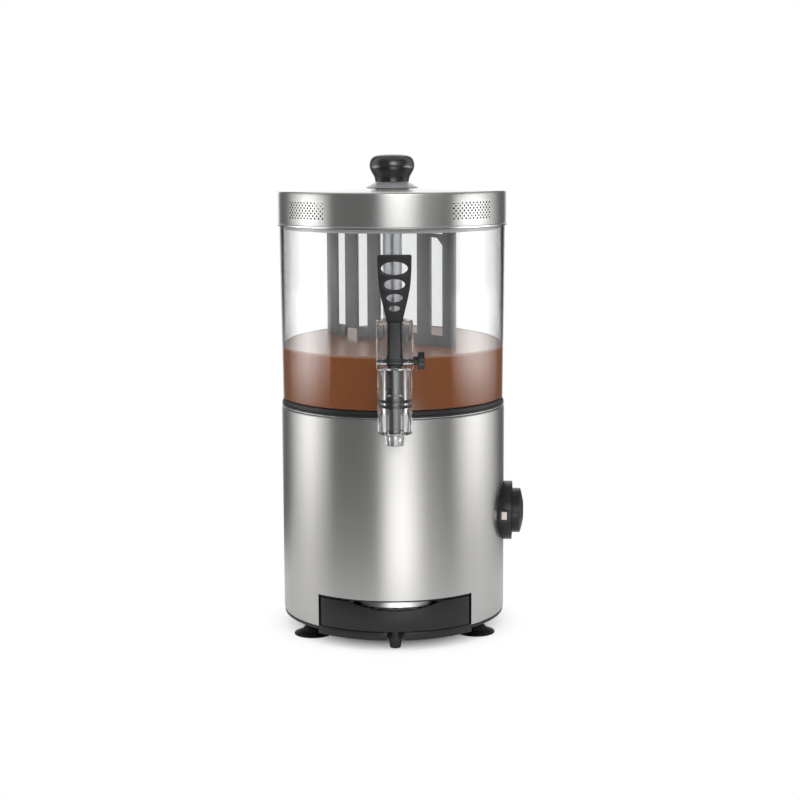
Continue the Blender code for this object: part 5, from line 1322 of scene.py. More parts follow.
        far_side = add_node(
            tree,
            "ShaderNodeMapRange",
            {"interpolation_type": "SMOOTHSTEP"},
            {
                "Value": radius,
                "From Min": self.panel_far[0],
                "From Max": self.panel_far[1],
                "To Min": 1.0,
                "To Max": self.far_panels,
            },
        ).outputs[0]
        side = add_node(
            tree,
            "ShaderNodeMath",
            {"operation": "MULTIPLY"},
            {0: self.ramped(tree, radius, self.panel_near), 1: far_side},
        ).outputs[0]
        front = self.ramped(tree, radius, self.front_near)
        fields = add_node(
            tree,
            "ShaderNodeEmission",
            inputs={
                "Color": self.surroundings(tree, flat.outputs[0], side, front),
                "Strength": self.brightest,
            },
        )
        behind = add_node(
            tree, "ShaderNodeMath", {"operation": "MULTIPLY"}, {0: seen.outputs[0], 1: far.outputs[0]}
        )
        in_gloss = add_node(
            tree,
            "ShaderNodeMath",
            {"operation": "MULTIPLY"},
            {0: self.mirrored(tree, rays), 1: off.outputs[0]},
        )
        near = add_node(
            tree,
            "ShaderNodeMixShader",
            inputs={0: behind.outputs[0], 1: paper.outputs[0], 2: white.outputs[0]},
        )
        whole = add_node(
            tree,
            "ShaderNodeMixShader",
            inputs={0: in_gloss.outputs[0], 1: near.outputs[0], 2: fields.outputs[0]},
        )
        tree.links.new(whole.outputs[0], output.inputs["Surface"])
        return material

    def floor(self, height: float) -> bpy.types.Object:
        """Lay the floor.

        Args:
            height: The height that the feet stand at.

        Returns:
            The floor.
        """
        shape = bmesh.new()
        bmesh.ops.create_circle(shape, cap_ends=True, segments=ROUND_STEPS, radius=self.floor_radius)
        floor = from_bmesh("studio_floor", shape, Matrix.Translation((0.0, 0.0, height)))
        if floor.data.polygons[0].normal.z < 0.0:
            floor.data.flip_normals()
        floor.data.materials.append(self.floor_paper())
        floor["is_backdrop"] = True
        return floor

    def lamp(
        self,
        name: str,
        place: tuple[float, float, float],
        aim: tuple[float, float, float],
        size: float,
        power: float,
    ) -> bpy.types.Object:
        """Hang one soft square lamp.

        Args:
            name: The lamp's name.
            place: Where it hangs.
            aim: The point that it faces.
            size: The length of its side.
            power: Its power in watts.

        Returns:
            The lamp.
        """
        data = bpy.data.lights.new(name, "AREA")
        data.shape = "SQUARE"
        data.size = size
        data.energy = power
        lamp = bpy.data.objects.new(name, data)
        bpy.context.scene.collection.objects.link(lamp)
        line = Vector(aim) - Vector(place)
        lamp.matrix_world = Matrix.Translation(place) @ line.to_track_quat("-Z", "Y").to_matrix().to_4x4()
        lamp.visible_glossy = False
        lamp.visible_transmission = False
        return lamp

    def build(self, height: float) -> None:
        """Set up the whole studio.

        Args:
            height: The height that the feet stand at.
        """
        self.camera()
        self.world()
        self.floor(height)
        for name, place, size, power in self.lamps:
            self.lamp(name, place, self.lamp_aim, size, power)
        bpy.context.scene.view_settings.view_transform = "Standard"


class Finish(Enum):
    """The finishes of the machine, each made once from its recipe."""

    # Brushed 304 sheet: soft upright bands of light over fine level lines.
    BRUSHED_STEEL = BrushedSteel(
        "brushed_stainless_steel", "#bcbbb9", 0.34, 0.72, 0.9 * MM, 70.0 * MM, 0.014, 0.0002 * MM
    )
    # The lid's sheet is brushed finer, so its bands are crisper and paler.
    LID_STEEL = BrushedSteel(
        "fine_brushed_lid_steel", "#cccbc9", 0.25, 0.66, 1.2 * MM, 90.0 * MM, 0.006, 0.00008 * MM
    )
    # Drawn steel that was never brushed: an even grey with blurred reflections.
    DRAWN_STEEL = BrushedSteel("drawn_stainless_steel", "#b4b3b1", 0.42, 0.2, 1.4 * MM, 12.0 * MM, 0.03)
    # Moulded ABS with a light spark finish: charcoal with wide soft highlights.
    BLACK_ABS = Moulding("satin_black_abs", "#121315", 0.36, edge=0.15, ior=1.46)
    # Polished phenolic: nearly black with clear rounded highlights.
    BLACK_PHENOLIC = Moulding("polished_black_phenolic", "#1c1c1f", 0.22, 1.4 * MM, 0.002 * MM, coat=1.0)
    # Nitrile rubber: dull black, with hardly any shine.
    BLACK_RUBBER = Moulding("dull_black_rubber", "#131415", 0.5, 0.7 * MM, 0.02 * MM, edge=0.1)
    # Moulded polypropylene of the agitator: mid grey, smooth and slightly waxy.
    GREY_POLYPROPYLENE = Moulding("waxy_grey_polypropylene", "#7b7c7e", 0.36, 1.6 * MM, edge=0.1)
    # The collar is the same plastic, paler and polished by its mould.
    PALE_GREY_ABS = Moulding("satin_pale_grey_abs", "#808184", 0.26, 1.4 * MM, coat=0.5)
    # The lid's inner faces, the band along its hem and the downward vent walls are dull pressed steel, painted much
    # darker: painted shade inside the lid, in the vents and in the gap under the hem.
    DULL_STEEL = BrushedSteel("dull_pressed_steel", "#55544f", 0.6, 0.0, 1.4 * MM, 12.0 * MM, 0.03)
    # Silicone strip: milky, because light enters it and scatters.
    MILKY_SILICONE = Moulding(
        "milky_silicone", "#d9dadb", 0.45, drift=0.03, ior=1.41, glow=0.4, glow_depth=2.0 * MM
    )
    # Steatite of the heater's and terminal's insulation: off-white with a dull glaze.
    CERAMIC = Moulding("glazed_steatite", "#e4dfd3", 0.35, 1.2 * MM, 0.02 * MM, ior=1.6)
    # Bright zinc plate on screws and the motor: silvery with a bluish mottle.
    ZINC_PLATE = PlatedMetal("bright_zinc_plate", "#b9bdc2", 0.32)
    # Turned brass: warm yellow, a little uneven.
    BRASS = PlatedMetal("turned_brass", "#b8964e", 0.28)
    # Clear polycarbonate of the bowl, with the faintest cool tint.
    BOWL_POLYCARBONATE = ClearMoulding("clear_bowl_polycarbonate", "#fafbfb", 1.585)
    # Thick clear polycarbonate of the tap: its depth shows as grey at the edges.
    TAP_POLYCARBONATE = ClearMoulding("clear_tap_polycarbonate", "#f1f3f4", 1.585, haze=0.03)
    # The inner tube is frosted, so the spindle in it is only a soft shade.
    TUBE_POLYCARBONATE = ClearMoulding("frosted_tube_polycarbonate", "#fcfcff", 1.45, 0.42, 0.06)
    # The pilot lamp's lens, pale when the lamp is off.
    LAMP_LENS = Moulding("pale_amber_lens", "#dcd6c9", 0.22, 1.5 * MM, 0.004 * MM, ior=1.49, glow=0.3)

    def material(self) -> bpy.types.Material:
        """Give this finish's material, made at its first use."""
        found = bpy.data.materials.get(self.value.name)
        return found or self.value.material()


@dataclass(frozen=True)
class Base:
    """The brushed steel body, its seat ring, underside, feet and what it hides."""

    radius: float = 100.0 * MM
    sheet: float = 0.8 * MM
    hem: float = 10.0 * MM
    shoulder: float = 1.5 * MM
    inner_land: float = 94.5 * MM
    window_half_width: float = 65.1 * MM
    window_top: float = 30.0 * MM
    seat_inner: float = 90.5 * MM
    seat_step: float = 1.2 * MM
    seat_band: float = 1.4 * MM
    seat_lip: float = 0.2 * MM
    seat_lip_rise: float = 0.3 * MM
    seat_roundings: tuple[float, ...] = (0.3, 0.3, 0.4, 0.2, 1.2, 0.6)
    foot_neck: float = 4.8 * MM
    foot_hollow: float = 3.5 * MM
    foot_rim: float = 3.0 * MM
    foot_lean: float = 0.1 * MM
    foot_edge: float = 0.9 * MM
    foot_waist_share: float = 0.62
    foot_waist: float = 3.4 * MM
    foot_flare: float = 1.2 * MM
    foot_shoulder: float = 8.5 * MM
    foot_gap: float = 0.3 * MM
    foot_stem: float = 3.1 * MM
    foot_roundings: tuple[float, ...] = (0.0, 1.0, 0.3, 0.2, 0.3, 6.0, 2.5, 0.8, 0.2, 0.4, 0.0)

    def shell(self) -> bpy.types.Object:
        """Build the steel shell with its hem, rolled shoulder and drawer window.

        Returns:
            The shell.
        """
        low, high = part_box("body_shell")
        outer, inner = self.radius, self.radius - self.sheet
        corners = [
            (outer - self.hem, low.z, 0.0),
            (outer, low.z, self.shoulder),
            (outer, high.z, self.shoulder),
            (self.inner_land, high.z, 0.0),
            (self.inner_land, high.z - self.sheet, 0.0),
            (inner, high.z - self.sheet, self.shoulder - self.sheet),
            (inner, low.z + self.sheet, self.shoulder - self.sheet),
            (outer - self.hem, low.z + self.sheet, 0.0),
        ]
        shell = turned("steel_shell", corners, FINE_STEPS)
        wall = self.window_half_width
        window = block(
            "window",
            (-wall - self.sheet * 2.0, -outer - OVERRUN, low.z - OVERRUN),
            (wall + self.sheet * 2.0, -outer * HALF, self.window_top + self.sheet * 2.0),
        )
        return cut(shell, window)

    def seat(self) -> bpy.types.Object:
        """Build the black ring that the bowl stands in, with its raised lip.

        Returns:
            The ring.
        """
        low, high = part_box("seat_ring")
        foot = high.x
        crown = foot - self.seat_step
        inner = self.seat_inner
        band = low.z + self.seat_band
        points = [
            (inner, low.z),
            (foot, low.z),
            (foot, band),
            (crown + self.seat_lip, band + self.seat_lip_rise),
            (crown, high.z),
            (inner, high.z),
        ]
        return turned("seat_ring_of_rubber", rounded(points, self.seat_roundings), FINE_STEPS)

    def foot(self, index: int) -> bpy.types.Object:
        """Build one suction foot with its flared cup, thin rim and neck.

        Args:
            index: The foot's number.

        Returns:
            The foot.
        """
        low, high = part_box(f"foot_{index}")
        cup = (high.x - low.x) * HALF
        neck = self.foot_neck
        table = low.z
        points = [
            (0.0, table + self.foot_hollow),
            (neck, table + self.foot_hollow),
            (cup - self.foot_rim, table),
            (cup, table),
            (cup - self.foot_lean, table + self.foot_edge),
            (cup * self.foot_waist_share, table + self.foot_waist),
            (neck + self.foot_flare, table + self.foot_shoulder),
            (neck, -self.foot_gap),
            (self.foot_stem, -self.foot_gap),
            (self.foot_stem, high.z),
            (0.0, high.z),
        ]
        corners = rounded(points, self.foot_roundings)
        middle = (low + high) * HALF
        return turned(f"suction_foot_{index}", corners, ROUND_STEPS, Vector((middle.x, middle.y, 0.0)))

    def build(self) -> None:
        """Build and dress the whole base."""
        placed(self.shell(), Finish.BRUSHED_STEEL.material(), "base", "brushed_steel", "body_shell")
        rubber = Finish.BLACK_RUBBER.material()
        placed(self.seat(), rubber, "base", "black_rubber", "seat_ring")
        for index in range(1, 5):
            placed(self.foot(index), rubber, "base", "black_rubber", f"foot_{index}")
        pan = refined("bottom_pan", "underside_pan", WIDE_EDGE)
        placed(pan, Finish.BLACK_ABS.material(), "base", "black_plastic", "bottom_pan")
        gland = refined("cable_gland", "ribbed_gland", WIDE_EDGE)
        placed(gland, Finish.BLACK_ABS.material(), "base", "black_plastic", "cable_gland")


@dataclass(frozen=True)
class Bowl:
    """The clear bowl with its outlet spigot, the inner tube and the hot chocolate."""

    foot_radius: float = 98.9 * MM
    rim_radius: float = 100.3 * MM
    wall: float = 1.6 * MM
    floor: float = 3.0 * MM
    corner: float = 1.2 * MM
    lip: float = 0.5 * MM
    hole_radius: float = 8.8 * MM
    spigot_height: float = 206.7 * MM
    spigot_radius: float = 8.5 * MM
    spigot_bore: float = 5.5 * MM
    spigot_tip: float = 108.0 * MM
    tube_radius: float = 8.5 * MM
    tube_bore: float = 6.5 * MM
    flange_radius: float = 13.0 * MM
    flange_top: float = 201.8 * MM
    tube_roundings: tuple[float, ...] = (0.0, 0.3, 0.6, 1.2, 0.5, 0.5)
    drink_top: float = 242.0 * MM
    meniscus: float = 0.5 * MM
    climb_near_share: float = 0.35
    climb_mid_share: float = 0.55
    climb_far_share: float = 1.6
    climb_tight_share: float = 0.3
    climb_wide_share: float = 0.6
    drink_inset: float = 7.0 * MM
    drink_step: float = 5.0 * MM
    drink_bed: float = 0.7 * MM
    drink_bulge: float = 0.4 * MM
    drink_side: float = 0.2 * MM
    drink_side_rise: float = 4.0 * MM
    drink_roundings: tuple[float, ...] = (0.0, 1.0, 0.5, 0.8, 0.5)

    def radius_at(self, height: float) -> float:
        """Give the outer radius of the tapered wall at a height."""
        low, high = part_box("bowl")
        share = (height - low.z) / (high.z - low.z)
        return self.foot_radius + (self.rim_radius - self.foot_radius) * share

    def shell(self) -> bpy.types.Object:
        """Build the clear bowl, with the spigot and its bore.

        Returns:
            The bowl.
        """
        low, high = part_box("bowl")
        inside = low.z + self.floor
        corners = [
            (self.hole_radius, low.z, 0.0),
            (self.foot_radius, low.z, self.corner),
            (self.rim_radius, high.z, self.lip),
            (self.rim_radius - self.wall, high.z, self.lip),
            (self.radius_at(inside) - self.wall, inside, self.corner * 1.5),
            (self.hole_radius, inside, 0.0),
        ]
        bowl = turned("clear_bowl", corners, FINE_STEPS)
        height = self.spigot_height
        root = -self.foot_radius + self.wall * HALF
        spigot = rod("spigot", self.spigot_radius, (0.0, root, height), (0.0, -self.spigot_tip, height))
        bore = rod(
            "bore", self.spigot_bore, (0.0, root + OVERRUN, height), (0.0, -self.spigot_tip - OVERRUN, height)
        )
        return cut(joined(bowl, spigot), bore)

    def tube(self) -> bpy.types.Object:
        """Build the inner tube that keeps the drink off the spindle.

        Returns:
            The tube.
        """
        low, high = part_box("bowl_standpipe")
        points = [
            (self.tube_bore, low.z),
            (self.flange_radius, low.z),
            (self.flange_radius, self.flange_top),
            (self.tube_radius, self.flange_top),
            (self.tube_radius, high.z),
            (self.tube_bore, high.z),
        ]
        return turned("inner_tube", rounded(points, self.tube_roundings), ROUND_STEPS)

    def drink(self) -> bpy.types.Object:
        """Fill the bowl, wetting the walls, with a rim where the drink climbs them.

        Returns:
            The hot chocolate.
        """
        low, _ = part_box("bowl")
        floor = low.z + self.floor - WETTING
        foot = self.radius_at(floor) - self.wall + WETTING
        edge = self.radius_at(self.drink_top) - self.wall + WETTING
        pipe = self.tube_radius - WETTING
        climb, top = self.meniscus, self.drink_top
        bed = low.z + self.drink_bed
        points = [
            (pipe, floor),
            (foot - self.drink_inset, floor),
            (foot - self.drink_step, bed),
            (foot + self.drink_bulge, bed),
            (foot + self.drink_side, low.z + self.drink_side_rise),
        ]
        near, far = climb * self.climb_near_share, climb * self.climb_far_share
        mid = top + climb * self.climb_mid_share
        tight, wide = climb * self.climb_tight_share, climb * self.climb_wide_share
        corners = [
            *rounded(points, self.drink_roundings),
            (edge, top + climb, 0.0),
            (edge - near, mid, tight),
            (edge - far, top, wide),
            (pipe + far, top, wide),
            (pipe + near, mid, tight),
            (pipe, top + climb, 0.0),
        ]
        drink = turned("hot_chocolate", corners, FINE_STEPS)
        height = self.spigot_height
        reach = self.spigot_tip - WETTING
        plug = rod("plug", self.spigot_bore + WETTING, (0.0, -foot + OVERRUN, height), (0.0, -reach, height))
        return joined(drink, plug)

    def build(self) -> None:
        """Build and dress the bowl and what stands in it."""
        bowl = placed(
            self.shell(), Finish.BOWL_POLYCARBONATE.material(), "bowl", "clear_polycarbonate", "bowl"
        )
        bowl.visible_shadow = False
        placed(
            self.tube(), Finish.TUBE_POLYCARBONATE.material(), "bowl", "clear_polycarbonate", "bowl_standpipe"
        )
        # Hot chocolate: an even milky brown; its top band is painted paler and pinker, for a froth skin and a
        # painted reflection.
        recipe = Drink("hot_chocolate", "#945424", "#b48a78", self.drink_top + self.meniscus, 2.4 * MM)
        placed(self.drink(), recipe.material(), "bowl", "clear_polycarbonate")


@dataclass(frozen=True)
class Lid:
    """The perforated steel lid with its knob, collar and silicone strip."""

    skirt_radius: float = 101.8 * MM
    crown_radius: float = 101.2 * MM
    flat_radius: float = 30.0 * MM
    sheet: float = 0.7 * MM
    corner: float = 2.4 * MM
    crown_height: float = 378.9 * MM
    hem_height: float = 1.5 * MM
    hem_step: float = 0.5 * MM
    hem_line: float = 0.7 * MM
    collar_radius: float = 23.75 * MM
    collar_neck: float = 15.0 * MM
    collar_flare: float = 2.2 * MM
    collar_turn: float = 1.1 * MM
    collar_roundings: tuple[float, ...] = (0.0, 0.3, 2.0, 0.5, 0.0)
    knob_radius: float = 20.0 * MM
    knob_profile: tuple[tuple[float, float], ...] = (
        (0.0, 1.0),
        (0.3, 0.995),
        (0.575, 0.975),
        (0.8, 0.915),
        (0.94, 0.795),
        (1.0, 0.61),
        (0.975, 0.45),
        (0.88, 0.3),
        (0.785, 0.16),
        (0.75, 0.0),
    )
    vent_bearings: tuple[float, ...] = (-48.0, 42.0, 132.0, -138.0)
    vent_rows: int = 7
    vent_columns: int = 11
    vent_low: float = 356.8 * MM
    vent_high: float = 369.7 * MM
    vent_pitch: float = 2.42
    vent_radius: float = 0.95 * MM
    strip_outer: float = 100.6 * MM
    strip_leg: float = 96.8 * MM
    strip_sheet: float = 1.0 * MM
    strip_shoulder: float = 353.3 * MM
    strip_roundings: tuple[float, ...] = (0.4, 0.4, 0.3, 0.3, 0.3, 0.3)

    def vent_centres(self) -> list[tuple[float, float]]:
        """Give the bearing in radians and the height of each vent hole of one patch."""
        centres = []
        for row in range(self.vent_rows):
            height = self.vent_low + (self.vent_high - self.vent_low) * row / (self.vent_rows - 1)
            count = self.vent_columns - row % 2
            for column in range(count):
                centres.append((math.radians((column - (count - 1) * HALF) * self.vent_pitch), height))
        return centres

    def shell(self) -> bpy.types.Object:
        """Build the lid's sheet, with four patches of round vents.

        Returns:
            The shell.
        """
        low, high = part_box("lid_shell")
        hem = self.skirt_radius - self.hem_step
        sheet = self.sheet
        corners = [
            (hem - sheet, low.z, 0.0),
            (self.skirt_radius - 0.05 * MM, low.z, 0.3 * MM),
            (self.skirt_radius - 0.02 * MM, low.z + self.hem_line * 2.0, 0.0),
            (self.skirt_radius, low.z + self.hem_height, 0.05 * MM),
            (hem, low.z + self.hem_height + self.hem_step, 0.2 * MM),
            (self.crown_radius, self.crown_height, self.corner),
            (self.flat_radius, high.z, 4.0 * MM),
            (0.0, high.z, 0.0),
            (0.0, high.z - sheet, 0.0),
            (self.flat_radius, high.z - sheet, 4.0 * MM),
            (self.crown_radius - sheet, self.crown_height - sheet, self.corner - sheet),
            (hem - sheet, low.z + self.hem_height + self.hem_step, 0.2 * MM),
        ]
        return turned("perforated_lid", corners, FINE_STEPS)

    def vents(self) -> bpy.types.Object:
        """Build the pins that pierce the skirt, in four patches.

        Returns:
            The pins, as one object.
        """
        shape = bmesh.new()
        for patch in self.vent_bearings:
            for offset, height in self.vent_centres():
                bearing = math.radians(patch) + offset
                out = Vector((math.sin(bearing), -math.cos(bearing), 0.0))
                middle = Matrix.Translation(out * self.skirt_radius + Vector((0.0, 0.0, height)))
                bmesh.ops.create_cone(
                    shape,
                    cap_ends=True,
                    segments=12,
                    radius1=self.vent_radius,
                    radius2=self.vent_radius,
                    depth=self.sheet * 4.0,
                    matrix=middle @ out.to_track_quat("Z", "Y").to_matrix().to_4x4(),
                )
        return from_bmesh("vent_pins", shape)

    def collar(self) -> bpy.types.Object:
        """Build the conical collar under the knob."""
        low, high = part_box("lid_collar")
        points = [
            (0.0, low.z),
            (self.collar_radius, low.z),
            (self.collar_neck + self.collar_flare, high.z - self.collar_turn),
            (self.collar_neck, high.z),
            (0.0, high.z),
        ]
        return turned("conical_collar", rounded(points, self.collar_roundings), ROUND_STEPS)

    def knob(self) -> bpy.types.Object:
        """Build the mushroom knob as a smooth curve through its profile."""
        low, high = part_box("lid_knob")
        tall = high.z - low.z
        points = [Vector((self.knob_radius * across, low.z + tall * up)) for across, up in self.knob_profile]
        fine = []
        for index in range(len(points) - 1):
            before = points[max(index - 1, 0)]
            here, there = points[index], points[index + 1]
            after = points[min(index + 2, len(points) - 1)]
            for step in range(FILLET_STEPS):
                fine.append(through(before, here, there, after, step / FILLET_STEPS))
        fine.append(points[-1])
        corners = [(max(point.x, 0.0), min(point.y, high.z), 0.0) for point in fine]
        corners[0] = (0.0, high.z, 0.0)
        return turned("mushroom_knob", [*corners, (0.0, low.z, 0.0)], ROUND_STEPS)

    def strip(self) -> bpy.types.Object:
        """Build the milky silicone strip that seals the lid on the rim."""
        low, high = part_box("lid_gasket")
        inner, leg, outer = self.strip_leg - self.strip_sheet, self.strip_leg, self.strip_outer
        points = [
            (inner, low.z),
            (leg, low.z),
            (leg, self.strip_shoulder),
            (outer, self.strip_shoulder),
            (outer, high.z),
            (inner, high.z),
        ]
        return turned("silicone_strip", rounded(points, self.strip_roundings), FINE_STEPS)

    def build(self) -> None:
        """Build and dress the lid."""
        shell = cut(self.shell(), self.vents())
        placed(shell, Finish.LID_STEEL.material(), "lid", "lid_steel", "lid_shell")
        shell.data.materials.append(Finish.DULL_STEEL.material())
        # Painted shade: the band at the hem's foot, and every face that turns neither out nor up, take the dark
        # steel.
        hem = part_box("lid_shell")[0].z + self.hem_line
        for face in shell.data.polygons:
            out = Vector((face.center.x, face.center.y, 0.0)).normalized()
            if face.center.z < hem or (face.normal.dot(out) < 0.5 and face.normal.z < 0.1):
                face.material_index = 1
        placed(self.collar(), Finish.PALE_GREY_ABS.material(), "lid", "light_grey_plastic", "lid_collar")
        placed(self.knob(), Finish.BLACK_PHENOLIC.material(), "lid", "gloss_black", "lid_knob")
        placed(self.strip(), Finish.MILKY_SILICONE.material(), "lid", "milky_silicone", "lid_gasket")


@dataclass(frozen=True)
class Tap:
    """The clear tap: tube, slotted housing and nozzle, with its lever, pin and plunger."""

    centre: float = -122.0 * MM
    tube_radius: float = 14.35 * MM
    tube_bottom: float = 181.0 * MM
    chamfer: float = 1.0 * MM
    bore_radius: float = 8.4 * MM
    bore_bottom: float = 179.5 * MM
    nozzle_radius: float = 8.8 * MM
    nozzle_tip_radius: float = 8.0 * MM
    nozzle_tip: float = 171.4 * MM
    outlet_radius: float = 4.0 * MM
    boss_radius: float = 12.5 * MM
    boss_rear: float = -101.3 * MM
    socket_radius: float = 9.0 * MM
    socket_end: float = -110.3 * MM
    port_radius: float = 3.0 * MM
    port_height: float = 206.7 * MM
    housing_half_width: float = 15.3 * MM
    housing_front: float = -137.3 * MM
    housing_rear: float = -107.5 * MM
    housing_bottom: float = 235.0 * MM
    housing_top: float = 276.0 * MM
    seal_press: float = 0.02 * MM
    seal_inner: float = 3.8 * MM
    seal_lip: float = 0.9 * MM
    seal_groove: float = 0.5 * MM
    seal_roundings: tuple[float, ...] = (0.3, 0.7, 0.5, 0.4, 0.5, 0.7, 0.3)
    pin_gap: float = 0.3 * MM
    pin_hole: float = 2.8 * MM
    pin_radius: float = 2.5 * MM
    pin_neck: float = 3.5 * MM
    pin_head: float = 7.2 * MM
    pin_head_depth: float = 5.5 * MM
    pin_dish: float = 3.2 * MM
    pin_dish_floor: float = 2.6 * MM
    pin_dish_depth: float = 0.7 * MM
    pin_roundings: tuple[float, ...] = (0.0, 0.4, 0.0, 0.2, 0.3, 0.5, 0.9, 0.5, 0.3, 0.0)
    housing_rounding: float = 3.0 * MM
    slot_half_width: float = 6.8 * MM
    slot_floor: float = 237.2 * MM
    slot_rear: float = -112.5 * MM
    pivot_y: float = -131.0 * MM
    pivot_z: float = 243.0 * MM
    edge: float = 0.35 * MM

    def body(self) -> bpy.types.Object:
        """Build the clear body with its bores and the lever's slot.

        Returns:
            The body.
        """
        tube, y = self.tube_radius, self.centre
        corners = [
            (0.0, self.slot_floor, 0.0),
            (tube, self.slot_floor, 0.0),
            (tube, self.tube_bottom, self.chamfer),
            (self.nozzle_radius, self.tube_bottom, 0.5 * MM),
            (self.nozzle_tip_radius, self.nozzle_tip, 0.6 * MM),
            (0.0, self.nozzle_tip, 0.0),
        ]
        body = turned("clear_tap_body", corners, ROUND_STEPS, Vector((0.0, y, 0.0)))
        housing = block(
            "housing",
            (-self.housing_half_width, self.housing_front, self.housing_bottom),
            (self.housing_half_width, self.housing_rear, self.housing_top),
        )
        eased(housing, self.housing_rounding, 5)
        height = self.port_height
        boss = rod("boss", self.boss_radius, (0.0, y, height), (0.0, self.boss_rear, height), ROUND_STEPS)
        joined(body, housing, boss)
        half = self.slot_half_width
        slot = block(
            "slot",
            (-half, self.housing_front - OVERRUN, self.slot_floor),
            (half, self.slot_rear, self.housing_top + OVERRUN),
        )
        hole = self.housing_half_width + OVERRUN
        tools = [
            rod(
                "bore",
                self.bore_radius,
                (0.0, y, self.bore_bottom),
                (0.0, y, self.slot_floor + self.chamfer),
            ),
            rod("outlet", self.outlet_radius, (0.0, y, self.nozzle_tip - OVERRUN), (0.0, y, height)),
            slot,
            rod(
                "socket",
                self.socket_radius,
                (0.0, self.socket_end, height),
                (0.0, self.boss_rear + OVERRUN, height),
            ),
            rod("port", self.port_radius, (0.0, y, height), (0.0, self.boss_rear, height)),
            rod(
                "pin_hole",
                self.pin_hole,
                (-hole, self.pivot_y, self.pivot_z),
                (hole, self.pivot_y, self.pivot_z),
            ),
        ]
        return eased(cut(body, *tools), self.edge, 2)

    def build(self) -> None:
        """Build and dress the whole tap."""
        body = placed(
            self.body(), Finish.TAP_POLYCARBONATE.material(), "bowl", "clear_polycarbonate", "tap_body"
        )
        body.visible_shadow = False
        Lever(self.pivot_y, self.pivot_z).build()
        black = Finish.BLACK_ABS.material()
        placed(
            refined("tap_plunger", "plunger", FINE_EDGE),
            black,
            "tap_plunger",
            "black_plastic",
            "tap_plunger",
        )
        placed(self.seal(), Finish.BLACK_RUBBER.material(), "tap_plunger", "black_rubber", "tap_seal")
        placed(self.pin(), black, "bowl", "black_plastic", "tap_pin")

    def seal(self) -> bpy.types.Object:
        """Build the thick rubber seal with its two lips."""
        low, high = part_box("tap_seal")
        outer, inner = self.bore_radius + self.seal_press, self.seal_inner
        middle = (low.z + high.z) * HALF
        points = [
            (inner, low.z),
            (outer, low.z),
            (outer, middle - self.seal_lip),
            (outer - self.seal_groove, middle),
            (outer, middle + self.seal_lip),
            (outer, high.z),
            (inner, high.z),
        ]
        corners = rounded(points, self.seal_roundings)
        return turned("lipped_seal", corners, ROUND_STEPS, Vector((0.0, self.centre, 0.0)))

    def pin(self) -> bpy.types.Object:
        """Build the pivot pin with its round head."""
        low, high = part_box("tap_pin")
        neck = self.housing_half_width + self.pin_gap
        flange = high.x - self.pin_head_depth
        dish = high.x - self.pin_dish_depth
        points = [
            (0.0, low.x),
            (self.pin_radius, low.x),
            (self.pin_radius, neck),
            (self.pin_neck, neck),
            (self.pin_neck, flange),
            (self.pin_head, flange),
            (self.pin_head, high.x),
            (self.pin_dish, high.x),
            (self.pin_dish_floor, dish),
            (0.0, dish),
        ]
        corners = rounded(points, self.pin_roundings)
        place = Vector((0.0, self.pivot_y, self.pivot_z))
        return turned("pivot_pin", corners, ROUND_STEPS, place, Axis.RIGHT)


